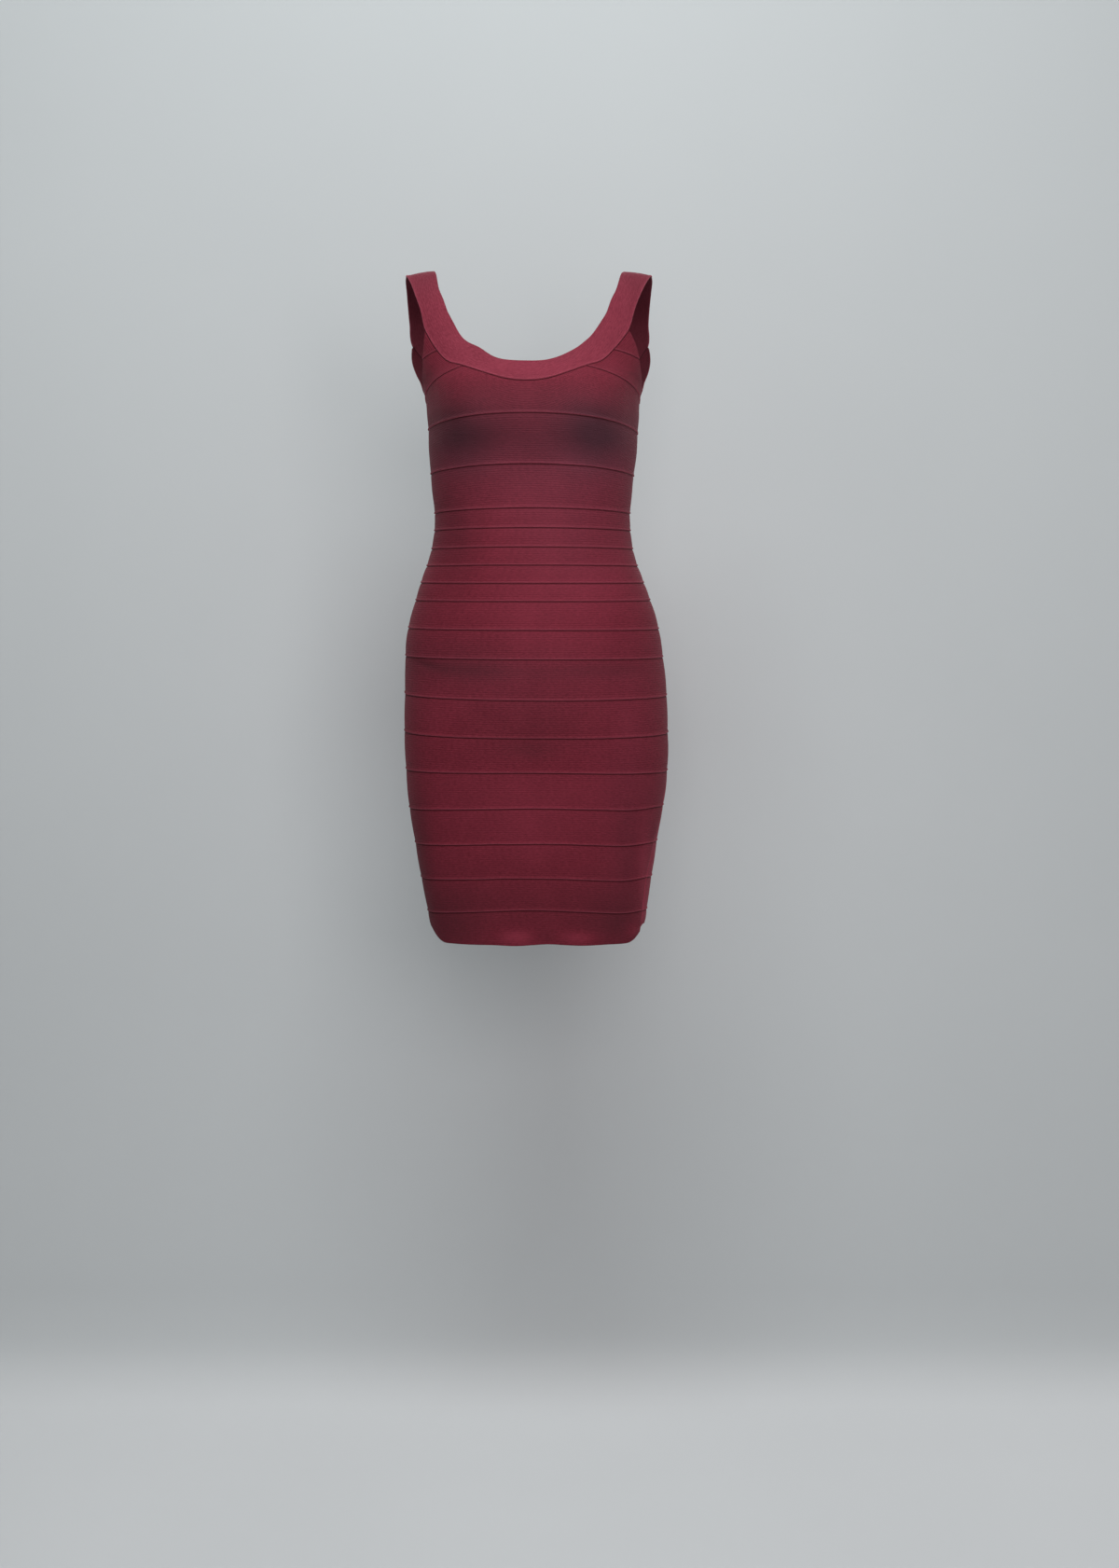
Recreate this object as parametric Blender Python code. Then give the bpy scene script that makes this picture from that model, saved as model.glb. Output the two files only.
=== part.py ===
"""Bodycon dress of knitted bands, worn and filled out with nobody in it.

Metres, +Z up. The origin lies midway between the two shoulder seams, where the wearer's shoulders
carry the straps. +X is the wearer's left and -Y is the front.

Every piece is cut from one fitted surface. A place on it is given by u, the way round from the
middle (0) to a side seam (1 on the left, -1 on the right), and by h, its height, which turns into
even steps over the shoulder above the foot of the strap's round cap.
"""

import math

import bmesh
import bpy
import numpy as np

# Cloth
WALL = 0.0018  # thickness of the doubled knit
SEAM_GAP = 0.0003  # left between two pieces that are linked together
LIP = 0.0005  # each band's lower edge stands this far over the next band

# Shoulders
SHOULDER_TOP = 0.0022  # the cloth's middle there, above the origin
CAP_HEIGHT = 0.050  # a strap rounds over the shoulder within this height
SHOULDER_SLOPE = 0.155  # fall of the shoulder for each metre out
STRAP_INNER = 0.1064  # from the middle to the strap's inner edge at the shoulder seam

# Bust cups, shaped by the stretch of the knit
CUP_APART = 0.074  # from the middle to a cup's fullest point
CUP_Z = -0.158
CUP_DEPTH = 0.027
CUP_OUTER_REACH = 0.042  # how far a cup fades out towards the side
CUP_UPPER_REACH = 0.055
CUP_LOWER_REACH = 0.046
CUP_BRIDGE = 0.50  # how much of its depth the cloth loses midway between the cups
CUP_SIDE_FADE = 1.6  # keeps a cup off the side seam

# Scoop
NECK_SWAY = -0.0065  # the front scoop hangs this far towards the wearer's right
SWAY_TOP = -0.045
SWAY_FOOT = -0.110

# Underarm
UNDERARM_Z = -0.131
YOKE_FOOT_Z = -0.145  # where the second yoke seam meets the side seam

# Left side seam, pulled forward on the skirt
SIDE_SWING = 0.32  # share of the front's left half that it has crossed at the hem
SWING_TOP = -0.520
SWING_FOOT = -0.690

FRONT = -1
BACK = 1

# The fitted form, upwards from the hem: half widths at the side seams, depths from the side seams
# to the middle of the front and of the back, squareness of each quarter (2 is an ellipse), and how
# far the section leans towards the wearer's left.
FORM_COLUMNS = (
    "z", "front_half", "back_half", "front_depth", "back_depth", "front_square", "back_square",
    "lean",
)
FORM = np.array(
    [
        (-0.775, 0.1200, 0.1212, 0.0640, 0.0690, 3.2, 2.8, 0.0055),
        (-0.740, 0.1258, 0.1264, 0.0700, 0.0740, 3.1, 2.8, 0.0055),
        (-0.700, 0.1316, 0.1320, 0.0770, 0.0810, 2.9, 2.7, 0.0045),
        (-0.650, 0.1403, 0.1405, 0.0840, 0.0950, 2.7, 2.6, 0.0040),
        (-0.600, 0.1480, 0.1480, 0.0910, 0.1120, 2.6, 2.5, 0.0043),
        (-0.550, 0.1520, 0.1520, 0.0960, 0.1230, 2.5, 2.4, 0.0046),
        (-0.500, 0.1519, 0.1519, 0.1000, 0.1210, 2.4, 2.4, 0.0040),
        (-0.450, 0.1493, 0.1493, 0.1005, 0.1100, 2.3, 2.3, 0.0028),
        (-0.400, 0.1434, 0.1434, 0.0975, 0.0960, 2.3, 2.3, 0.0010),
        (-0.350, 0.1285, 0.1285, 0.0905, 0.0830, 2.3, 2.3, 0.0000),
        (-0.315, 0.1161, 0.1161, 0.0850, 0.0745, 2.3, 2.3, -0.0003),
        (-0.280, 0.1115, 0.1115, 0.0820, 0.0705, 2.3, 2.3, 0.0002),
        (-0.240, 0.1137, 0.1137, 0.0830, 0.0740, 2.3, 2.3, 0.0001),
        (-0.200, 0.1178, 0.1178, 0.0870, 0.0810, 2.3, 2.3, 0.0009),
        (-0.165, 0.1194, 0.1194, 0.0915, 0.0870, 2.3, 2.3, 0.0012),
        (-0.131, 0.1228, 0.1245, 0.0890, 0.0880, 2.3, 2.3, 0.0004),
        (-0.105, 0.1330, 0.1440, 0.0830, 0.0860, 2.3, 2.3, -0.0006),
        (-0.075, 0.1450, 0.1600, 0.0730, 0.0810, 2.3, 2.3, -0.0026),
        (-0.050, 0.1530, 0.1660, 0.0640, 0.0740, 2.3, 2.3, -0.0043),
        (0.000, 0.1600, 0.1700, 0.0500, 0.0560, 2.3, 2.3, -0.0035),
    ]
)

# Neckbands, from the shoulder seam to the middle: both edges as seen from the front, x from the
# section's middle, and the mesh steps to the next row. Row 3 is where the armhole starts, row 4
# the first yoke seam and row 6 the second.
NECK_COLUMNS = ("inner_x", "inner_z", "outer_x", "outer_z", "steps")
ARMHOLE_ROW, FIRST_SEAM_ROW, SECOND_SEAM_ROW = 3, 4, 6
NECKBAND = {
    FRONT: np.array(
        [
            (0.1064, 0.0000, 0.1420, -0.0055, 4),
            (0.1000, -0.0190, 0.1270, -0.0250, 2),
            (0.0923, -0.0382, 0.1188, -0.0475, 2),
            (0.0848, -0.0555, 0.1125, -0.0690, 3),
            (0.0738, -0.0742, 0.0975, -0.0920, 3),
            (0.0650, -0.0844, 0.0845, -0.1055, 2),
            (0.0545, -0.0930, 0.0675, -0.1118, 2),
            (0.0400, -0.1008, 0.0480, -0.1190, 2),
            (0.0260, -0.1052, 0.0300, -0.1248, 1),
            (0.0130, -0.1066, 0.0150, -0.1279, 1),
            (0.0000, -0.1068, 0.0000, -0.1288, 1),
        ]
    ),
    BACK: np.array(
        [
            (0.1064, 0.0000, 0.1420, -0.0055, 4),
            (0.1085, -0.0220, 0.1405, -0.0240, 2),
            (0.1080, -0.0420, 0.1390, -0.0460, 2),
            (0.1050, -0.0600, 0.1370, -0.0740, 3),
            (0.0970, -0.0760, 0.1190, -0.0960, 2),
            (0.0850, -0.0870, 0.1000, -0.1110, 2),
            (0.0710, -0.0950, 0.0810, -0.1215, 2),
            (0.0540, -0.1020, 0.0610, -0.1295, 2),
            (0.0360, -0.1065, 0.0400, -0.1350, 1),
            (0.0180, -0.1090, 0.0200, -0.1380, 1),
            (0.0000, -0.1098, 0.0000, -0.1390, 1),
        ]
    ),
}

# Armhole edges, from below the neckband to the side seam. A place as wide as the section, or wider,
# is on the side seam itself. Above these rows, row 0 of an edge lies close to the neckband, so that
# a yoke piece ends in a blunt tip. The front's first yoke seam meets its armhole at FIRST_SEAM_EDGE.
ARMHOLE_COLUMNS = ("x", "z")
ARMHOLE = {
    FRONT: np.array(
        [
            (0.1185, -0.0857),
            (0.1207, -0.0995),
            (0.1216, -0.1097),
            (0.1229, -0.1204),
            (0.1233, -0.1262),
            (0.1400, UNDERARM_Z),
            (0.1400, YOKE_FOOT_Z),
        ]
    ),
    BACK: np.array(
        [
            (0.1388, -0.0912),
            (0.1373, -0.0993),
            (0.1345, -0.1075),
            (0.1300, -0.1170),
            (0.1273, -0.1243),
            (0.1600, UNDERARM_Z),
            (0.1600, YOKE_FOOT_Z),
        ]
    ),
}
FIRST_SEAM_EDGE = 2
TIP_SHARE = 0.15  # of the way from the neckband to the table's first row
TIP_OUT = 0.0035  # step in u towards the side that keeps the tip from running along the edge

# Seams between the bands, downwards, then the hem: height at the side seams, how much higher the
# middle of the front and of the back lie, the shares of the way round at which that rise starts to
# fade and is gone, and how much higher the wearer's right end lies.
SEAM_COLUMNS = ("side_z", "front_rise", "back_rise", "fade_from", "fade_to", "tilt")
SEAMS = np.array(
    [
        (-0.1775, 0.0140, 0.0030, 0.00, 1.00, 0.0020),
        (-0.2258, 0.0085, 0.0020, 0.00, 1.00, 0.0010),
        (-0.2693, 0.0040, 0.0010, 0.00, 1.00, 0.0000),
        (-0.2891, 0.0020, 0.0000, 0.00, 1.00, 0.0000),
        (-0.3101, 0.0017, 0.0000, 0.00, 1.00, 0.0000),
        (-0.3295, 0.0010, 0.0000, 0.00, 1.00, 0.0000),
        (-0.3485, -0.0003, 0.0000, 0.00, 1.00, 0.0000),
        (-0.3685, -0.0003, 0.0000, 0.00, 1.00, 0.0000),
        (-0.4007, 0.0002, 0.0000, 0.00, 1.00, 0.0008),
        (-0.4329, 0.0000, 0.0000, 0.00, 1.00, 0.0010),
        (-0.4766, -0.0017, 0.0010, 0.00, 1.00, 0.0014),
        (-0.5198, -0.0010, 0.0020, 0.00, 1.00, 0.0012),
        (-0.5643, 0.0048, 0.0030, 0.00, 1.00, 0.0014),
        (-0.6086, 0.0084, 0.0040, 0.00, 1.00, 0.0006),
        (-0.6503, 0.0094, 0.0040, 0.00, 1.00, 0.0012),
        (-0.6912, 0.0098, 0.0040, 0.00, 1.00, 0.0018),
        (-0.7313, 0.0124, 0.0040, 0.00, 1.00, 0.0014),
        (-0.7452, -0.0154, -0.0080, 0.54, 0.78, -0.0016),
    ]
)

# Mesh
BAND_STEPS = 28  # round half of the dress
ROW_HEIGHT = 0.024  # a band has one more row for each of these
YOKE_STEPS = 8  # from the neckband to the side seam, along the second yoke seam
NECKBAND_STEPS = 2  # across a neckband
FIRST_SEAM_STEPS = 2  # from the neckband to the armhole, along the first yoke seam
SLOPE_STEP = 1e-4  # step in u and in h that gives the surface's slope

# Finish: deep red viscose knit, a little lighter where the neckband faces the light
BODY_COLOUR = (0.190, 0.022, 0.040)
NECKBAND_COLOUR = (0.230, 0.030, 0.052)
KNIT_ROUGHNESS = 0.85


def read(table, columns, at, keys=None):
    """Reads each named column at the given keys, on a smooth curve through the table's rows."""
    keys = table[:, 0] if keys is None else keys
    slopes = np.gradient(table, keys, axis=0)
    at = np.asarray(at, float)
    row = np.clip(np.searchsorted(keys, at) - 1, 0, len(keys) - 2)
    span = (keys[row + 1] - keys[row])[..., None]
    t = (at - keys[row])[..., None] / span
    start = table[row] * (1 + 2 * t) * (1 - t) ** 2 + slopes[row] * span * t * (1 - t) ** 2
    end = table[row + 1] * t**2 * (3 - 2 * t) - slopes[row + 1] * span * t**2 * (1 - t)
    return dict(zip(columns, np.moveaxis(start + end, -1, 0)))


def section_of(side, z):
    """Half width, depth, squareness and lean of the section at height z, on one side."""
    form = read(FORM, FORM_COLUMNS, z)
    half = "front" if side == FRONT else "back"
    return form[half + "_half"], form[half + "_depth"], form[half + "_square"], form["lean"]


def cup_depth(x, z):
    """How far the bust cups lift the front."""
    across = np.abs(x)
    outer = np.exp(-(((across - CUP_APART) / CUP_OUTER_REACH) ** 2))
    between = 1 - CUP_BRIDGE * (1 - (across / CUP_APART) ** 2) ** 2
    reach = np.where(z > CUP_Z, CUP_UPPER_REACH, CUP_LOWER_REACH)
    up = np.exp(-(((z - CUP_Z) / reach) ** 2))
    return CUP_DEPTH * np.where(across > CUP_APART, outer, between) * up


def cloth_point(side, u, h):
    """The middle of the cloth at a place. Past a side seam it runs on round the other side."""
    past = np.abs(u) > 1
    if past.any():
        here = cloth_point(side, np.where(past, 0, u), h)
        there = cloth_point(-side, np.where(past, np.sign(u) * (2 - np.abs(u)), 0), h)
        return np.where(past[..., None], there, here)
    turn = np.clip(h / CAP_HEIGHT + 1, 0, 1) * math.pi / 2
    z = np.where(h < -CAP_HEIGHT, h, CAP_HEIGHT * (np.sin(turn) - 1))
    half, depth, square, lean = section_of(side, z)
    across, along = np.sin(u * math.pi / 2), np.cos(u * math.pi / 2)
    size = (np.abs(across) ** square + np.abs(along) ** square) ** (1 / square)
    x = half * across / size
    y = depth * along / size
    if side == FRONT:
        y = y + cup_depth(x, z) * np.clip(CUP_SIDE_FADE * along / size, 0, 1)
    fall = SHOULDER_SLOPE * (np.abs(x) - STRAP_INNER) * np.sin(turn)
    top = SHOULDER_TOP * np.sin(turn)
    return np.stack([lean + x, side * y * np.cos(turn), z + top - fall], axis=-1)


def cloth_normal(side, u, h):
    """The outward direction of the cloth at a place."""
    end = np.maximum(np.abs(u), 1)
    over_u = cloth_point(side, np.clip(u + SLOPE_STEP, -end, end), h)
    over_u = over_u - cloth_point(side, np.clip(u - SLOPE_STEP, -end, end), h)
    over_h = cloth_point(side, u, np.minimum(h + SLOPE_STEP, 0))
    over_h = over_h - cloth_point(side, u, h - SLOPE_STEP)
    normal = -side * np.cross(over_u, over_h)
    return normal / np.linalg.norm(normal, axis=-1, keepdims=True)


def place(side, x, z):
    """The place (u, h) of a point seen from the front, x from the section's middle."""
    lift = np.clip(z / CAP_HEIGHT + 1, -1, 1)
    h = np.where(z < -CAP_HEIGHT, z, CAP_HEIGHT * (np.arcsin(lift) * 2 / math.pi - 1))
    half, _, square, _ = section_of(side, z)
    share = np.clip(np.abs(x) / half, 0, 1) ** square
    u = np.arctan2(share ** (1 / square), (1 - share) ** (1 / square)) * 2 / math.pi
    return np.stack([np.sign(x) * u, h], axis=-1)


def sway(side, z):
    """How far the scoop has swung aside at height z."""
    part = np.clip((z - SWAY_TOP) / (SWAY_FOOT - SWAY_TOP), 0, 1)
    return (NECK_SWAY if side == FRONT else 0) * part**2 * (3 - 2 * part)


def neckband_edges(side, hand, rows):
    """The inner and the outer edge of half a neckband, as places, at the given table rows."""
    table = NECKBAND[side]
    edges = []
    for edge in ("inner", "outer"):
        x = table[:, NECK_COLUMNS.index(edge + "_x")]
        z = table[:, NECK_COLUMNS.index(edge + "_z")]
        z = np.where(z > -CAP_HEIGHT / 2, z + SHOULDER_SLOPE * (x - STRAP_INNER), z)
        places = place(side, hand * x + sway(side, z), np.minimum(z, 0))
        names = ("u", "h")
        found = read(places, names, rows, keys=np.arange(len(places), dtype=float))
        edges.append(np.stack([found["u"], np.minimum(found["h"], 0)], axis=-1))
    return edges


def neckband_rows(side, first, last):
    """The rows, whole and between, at which the mesh has a rung from one table row to another."""
    steps = NECKBAND[side][:, NECK_COLUMNS.index("steps")].astype(int)
    parts = [row + np.arange(steps[row]) / steps[row] for row in range(first, last)]
    return np.concatenate([*parts, [last]])


def armhole_edge(side, hand, first, last, count):
    """Places along an armhole edge, between two rows of its table."""
    table = ARMHOLE[side]
    places = place(side, hand * table[:, 0], table[:, 1])
    _, start = neckband_edges(side, hand, np.array([ARMHOLE_ROW]))
    tip = start * (1 - TIP_SHARE) + places[:1] * TIP_SHARE + (hand * TIP_OUT, 0)
    places = np.concatenate([tip, places])
    at = np.linspace(first, last, count)
    keys = np.arange(len(places))
    return np.stack([np.interp(at, keys, places[:, 0]), np.interp(at, keys, places[:, 1])], axis=-1)


def across(start, end, steps):
    """A grid of places: each row runs from a place in start to its fellow in end."""
    part = np.linspace(0, 1, steps + 1)[None, :, None]
    return start[:, None] * (1 - part) + end[:, None] * part


def seam_height(side, row, u):
    """Height of a seam between bands at u, which may lie past a side seam."""
    at = dict(zip(SEAM_COLUMNS, SEAMS[row]))
    front = (side == FRONT) == (np.abs(u) <= 1)
    u = np.where(np.abs(u) <= 1, u, np.sign(u) * (2 - np.abs(u)))
    left = np.clip((at["fade_to"] - np.abs(u)) / (at["fade_to"] - at["fade_from"]), 0, 1)
    rise = np.where(front, at["front_rise"], at["back_rise"]) * left**2 * (3 - 2 * left)
    return at["side_z"] + rise - at["tilt"] * u


def seam_line(side, row):
    """Places along a seam between bands, from the right side seam to the left one."""
    part = np.clip((SWING_TOP - SEAMS[row, 0]) / (SWING_TOP - SWING_FOOT), 0, 1)
    swing = SIDE_SWING * part**2 * (3 - 2 * part)
    u = np.linspace(-1, 1, BAND_STEPS + 1)
    u = np.where(u > 0, u * (1 + side * swing), u)
    return np.stack([u, seam_height(side, row, u)], axis=-1)


def band_between(top, bottom):
    """A grid of places from a top line down to a bottom line."""
    rows = 1 + math.ceil(np.max(top[:, 1] - bottom[:, 1]) / ROW_HEIGHT)
    part = np.linspace(0, 1, rows)[:, None, None]
    return top * (1 - part) + bottom * part


def draw_in(points, gap):
    """Moves the outermost row and column of points inwards, along the cloth."""
    points = points.copy()
    for grid in (points, points.swapaxes(0, 1)):
        for edge, inner in ((0, 1), (-1, -2)):
            inwards = grid[inner] - grid[edge]
            grid[edge] += inwards * gap / np.linalg.norm(inwards, axis=-1, keepdims=True)
    return points


def knit_material(name, colour):
    """A matt knit in one colour."""
    material = bpy.data.materials.new(name)
    material.use_nodes = True
    shader = material.node_tree.nodes["Principled BSDF"]
    shader.inputs["Base Color"].default_value = (*colour, 1)
    shader.inputs["Roughness"].default_value = KNIT_ROUGHNESS
    shader.inputs["Metallic"].default_value = 0
    material.diffuse_color = (*colour, 1)
    return material


def cloth_piece(name, side, places, colour, lip=LIP):
    """One piece as a closed wall. places is its grid, rows downwards."""
    u, h = places[..., 0], places[..., 1]
    middle = draw_in(cloth_point(side, u, h), SEAM_GAP / 2)
    normal = cloth_normal(side, u, h)
    outer = middle + normal * WALL / 2
    outer[-1] += normal[-1] * lip
    inner = middle - normal * WALL / 2
    rows, columns = u.shape
    mesh = bmesh.new()
    grids = []
    for points in (outer, inner):
        verts = [mesh.verts.new(point) for point in points.reshape(-1, 3)]
        grids.append(np.array(verts, dtype=object).reshape(rows, columns))
    for verts in grids:
        for i in range(rows - 1):
            for j in range(columns - 1):
                mesh.faces.new((verts[i, j], verts[i + 1, j], verts[i + 1, j + 1], verts[i, j + 1]))
    out, back = grids
    rims = (
        (out[0], back[0]),
        (out[-1], back[-1]),
        (out[:, 0], back[:, 0]),
        (out[:, -1], back[:, -1]),
    )
    for near, far in rims:
        for k in range(len(near) - 1):
            mesh.faces.new((near[k], near[k + 1], far[k + 1], far[k]))
    bmesh.ops.recalc_face_normals(mesh, faces=mesh.faces)
    data = bpy.data.meshes.new(name)
    mesh.to_mesh(data)
    mesh.free()
    data.shade_smooth()
    data.set_sharp_from_angle(angle=math.radians(40))
    data.materials.append(knit_material(name + "_knit", colour))
    piece = bpy.data.objects.new(name, data)
    bpy.context.collection.objects.link(piece)
    return piece


def make_neckband(name, side):
    """A neckband from one shoulder seam, round the scoop, to the other."""
    rows = neckband_rows(side, 0, len(NECKBAND[side]) - 1)
    right_inner, right_outer = neckband_edges(side, -1, rows)
    left_inner, left_outer = neckband_edges(side, 1, rows)
    inner = np.concatenate([right_inner, left_inner[-2::-1]])
    outer = np.concatenate([right_outer, left_outer[-2::-1]])
    places = across(inner, outer, NECKBAND_STEPS).swapaxes(0, 1)
    return cloth_piece(name, side, places, NECKBAND_COLOUR)


def make_yoke_piece(name, side, hand, neck_rows, edge_rows, steps):
    """A piece between the neckband and an armhole, made of lines that run from one to the other."""
    rows = neckband_rows(side, *neck_rows)
    _, start = neckband_edges(side, hand, rows)
    end = armhole_edge(side, hand, *edge_rows, len(rows))
    return cloth_piece(name, side, across(start, end, steps), BODY_COLOUR)


def make_top_band(name, side):
    """The band under the neckband: its top follows the second yoke seams and the scoop."""
    rows = neckband_rows(side, SECOND_SEAM_ROW, len(NECKBAND[side]) - 1)
    lines = []
    for hand in (-1, 1):
        _, scoop = neckband_edges(side, hand, rows)
        foot = np.array([[hand, YOKE_FOOT_Z]])
        yoke = across(foot, scoop[:1], YOKE_STEPS)[0]
        lines.append(np.concatenate([yoke, scoop[1:]]))
    right, left = lines
    top = np.concatenate([right, left[-2::-1]])
    foot = np.stack([top[:, 0], seam_height(side, 0, top[:, 0])], axis=-1)
    return cloth_piece(name, side, band_between(top, foot), BODY_COLOUR)


def make_band(name, side, row):
    """The band between two seams."""
    places = band_between(seam_line(side, row), seam_line(side, row + 1))
    return cloth_piece(name, side, places, BODY_COLOUR)


def clear_scene():
    for thing in list(bpy.data.objects):
        bpy.data.objects.remove(thing, do_unlink=True)


def build():
    clear_scene()
    hands = (("right", -1), ("left", 1))
    make_neckband("front_neckband", FRONT)
    for word, hand in hands:
        make_yoke_piece(
            f"front_{word}_upper_yoke", FRONT, hand, (ARMHOLE_ROW, FIRST_SEAM_ROW),
            (0, FIRST_SEAM_EDGE), FIRST_SEAM_STEPS,
        )
        make_yoke_piece(
            f"front_{word}_lower_yoke", FRONT, hand, (FIRST_SEAM_ROW, SECOND_SEAM_ROW),
            (FIRST_SEAM_EDGE, len(ARMHOLE[FRONT])), YOKE_STEPS,
        )
    make_neckband("back_neckband", BACK)
    for word, hand in hands:
        make_yoke_piece(
            f"back_{word}_yoke", BACK, hand, (ARMHOLE_ROW, SECOND_SEAM_ROW),
            (0, len(ARMHOLE[BACK])), YOKE_STEPS,
        )
    for word, side in (("front", FRONT), ("back", BACK)):
        make_top_band(f"{word}_band_01", side)
        for row in range(len(SEAMS) - 1):
            make_band(f"{word}_band_{row + 2:02d}", side, row)


build()
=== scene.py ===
# %% [markdown]
# # A bodycon dress of knitted bands
# The dress is a close-fitting tube of narrow knitted bands, linked edge to edge, with a curved
# neckband that runs up into the shoulder straps. Nobody is in it, but it keeps the shape it has
# when worn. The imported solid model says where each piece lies. Here each piece gets a finer shell
# with the small relief of real linked knitwear: a raised lower edge, a groove under it, a slight
# swell in between, and the soft creases of cloth that is pulled tight.

# %% Load the fitted model
import math

import bpy
import numpy as np
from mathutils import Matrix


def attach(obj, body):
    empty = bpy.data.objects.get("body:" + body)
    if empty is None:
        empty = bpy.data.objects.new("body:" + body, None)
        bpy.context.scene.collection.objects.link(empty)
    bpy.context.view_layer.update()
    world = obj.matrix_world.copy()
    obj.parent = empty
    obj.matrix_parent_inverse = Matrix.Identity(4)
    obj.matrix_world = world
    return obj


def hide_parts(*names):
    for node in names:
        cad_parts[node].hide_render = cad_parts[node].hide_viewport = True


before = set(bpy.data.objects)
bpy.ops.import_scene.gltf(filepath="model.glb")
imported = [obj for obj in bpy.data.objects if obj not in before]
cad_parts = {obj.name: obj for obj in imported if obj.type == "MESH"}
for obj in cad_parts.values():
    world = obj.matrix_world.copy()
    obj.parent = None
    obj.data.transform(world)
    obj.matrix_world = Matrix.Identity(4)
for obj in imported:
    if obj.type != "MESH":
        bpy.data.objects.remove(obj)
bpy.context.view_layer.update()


def linked(name, data):
    """A new object, in the scene."""
    thing = bpy.data.objects.new(name, data)
    bpy.context.scene.collection.objects.link(thing)
    return thing


# %% [markdown]
# ## The camera
# A full-length view of a garment is taken from a few metres away, near the middle of its height,
# so that neither the straps nor the hem are stretched by perspective. The camera looks level but
# for a slight tilt down. It comes first because every later choice of detail is judged through it.

# %% Set the camera
CAMERA_PLACE = (0.0313, -2.1, -0.3514)
CAMERA_TILT = math.radians(6.274)  # down from level
CAMERA_LENS = 41.39  # mm, for a picture 36 mm tall

camera = linked("camera", bpy.data.cameras.new("camera"))
camera.data.lens = CAMERA_LENS
camera.location = CAMERA_PLACE
camera.rotation_euler = (math.pi / 2 - CAMERA_TILT, 0, 0)
bpy.context.scene.camera = camera
print("camera:", CAMERA_PLACE, "tilted down", round(math.degrees(CAMERA_TILT), 2), "degrees")

# %% [markdown]
# ## The fitted form
# Stretch knit takes the form of what it is pulled over, so the whole dress can be described as one
# surface and every piece as a patch of it. A place on the surface has two numbers: u, the way
# round from the middle (0) to a side seam (1 on the wearer's left, -1 on the right), and h, its
# height. The form is a stack of rounded cross sections, kept in a table with a row for each
# height, and a smooth curve reads the heights between. These are the sizes of the solid model.

# %% Sizes of the form
FRONT, BACK = -1, 1
SHOULDER_TOP = 0.0022  # the cloth's middle there, above the origin
CAP_HEIGHT = 0.050  # a strap rounds over the shoulder within this height
SHOULDER_SLOPE = 0.155  # fall of the shoulder for each metre out
STRAP_INNER = 0.1064  # from the middle to the strap's inner edge at the shoulder seam
CUP_APART = 0.074  # from the middle to a bust cup's fullest point
CUP_Z, CUP_DEPTH = -0.158, 0.027
CUP_OUTER_REACH, CUP_UPPER_REACH, CUP_LOWER_REACH = 0.042, 0.055, 0.046
CUP_BRIDGE = 0.50  # how much of its depth the cloth loses midway between the cups
CUP_SIDE_FADE = 1.6  # keeps a cup off the side seam
SLOPE_STEP = 1e-4  # step in u and in h that gives the surface's slope


def millimetres(*rows, plain=0):
    """A table of sizes in millimetres, turned into metres but for its last, plain columns."""
    table = np.array(rows, float)
    table[:, : table.shape[1] - plain] /= 1000
    return table


FORM_COLUMNS = (
    "z", "front_half", "back_half", "front_depth", "back_depth", "lean", "front_square", "back_square",
)
FORM = millimetres(
    (-775, 120, 121.2, 64, 69, 5.5, 3.2, 2.8),
    (-740, 125.8, 126.4, 70, 74, 5.5, 3.1, 2.8),
    (-700, 131.6, 132, 77, 81, 4.5, 2.9, 2.7),
    (-650, 140.3, 140.5, 84, 95, 4, 2.7, 2.6),
    (-600, 148, 148, 91, 112, 4.3, 2.6, 2.5),
    (-550, 152, 152, 96, 123, 4.6, 2.5, 2.4),
    (-500, 151.9, 151.9, 100, 121, 4, 2.4, 2.4),
    (-450, 149.3, 149.3, 100.5, 110, 2.8, 2.3, 2.3),
    (-400, 143.4, 143.4, 97.5, 96, 1, 2.3, 2.3),
    (-350, 128.5, 128.5, 90.5, 83, 0, 2.3, 2.3),
    (-315, 116.1, 116.1, 85, 74.5, -0.3, 2.3, 2.3),
    (-280, 111.5, 111.5, 82, 70.5, 0.2, 2.3, 2.3),
    (-240, 113.7, 113.7, 83, 74, 0.1, 2.3, 2.3),
    (-200, 117.8, 117.8, 87, 81, 0.9, 2.3, 2.3),
    (-165, 119.4, 119.4, 91.5, 87, 1.2, 2.3, 2.3),
    (-131, 122.8, 124.5, 89, 88, 0.4, 2.3, 2.3),
    (-105, 133, 144, 83, 86, -0.6, 2.3, 2.3),
    (-75, 145, 160, 73, 81, -2.6, 2.3, 2.3),
    (-50, 153, 166, 64, 74, -4.3, 2.3, 2.3),
    (0, 160, 170, 50, 56, -3.5, 2.3, 2.3),
    plain=2,  # squareness has no unit
)
print("form:", len(FORM), "sections from", FORM[0, 0], "to", FORM[-1, 0], "m")


# %% The surface of the cloth
def eased(part):
    """0 to 1 with a soft start and end."""
    held = np.clip(part, 0, 1)
    return held**2 * (3 - 2 * held)


def bell(off, reach):
    """1 at no offset, fading softly to nothing at about twice the reach."""
    return np.exp(-((off / reach) ** 2))


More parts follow.
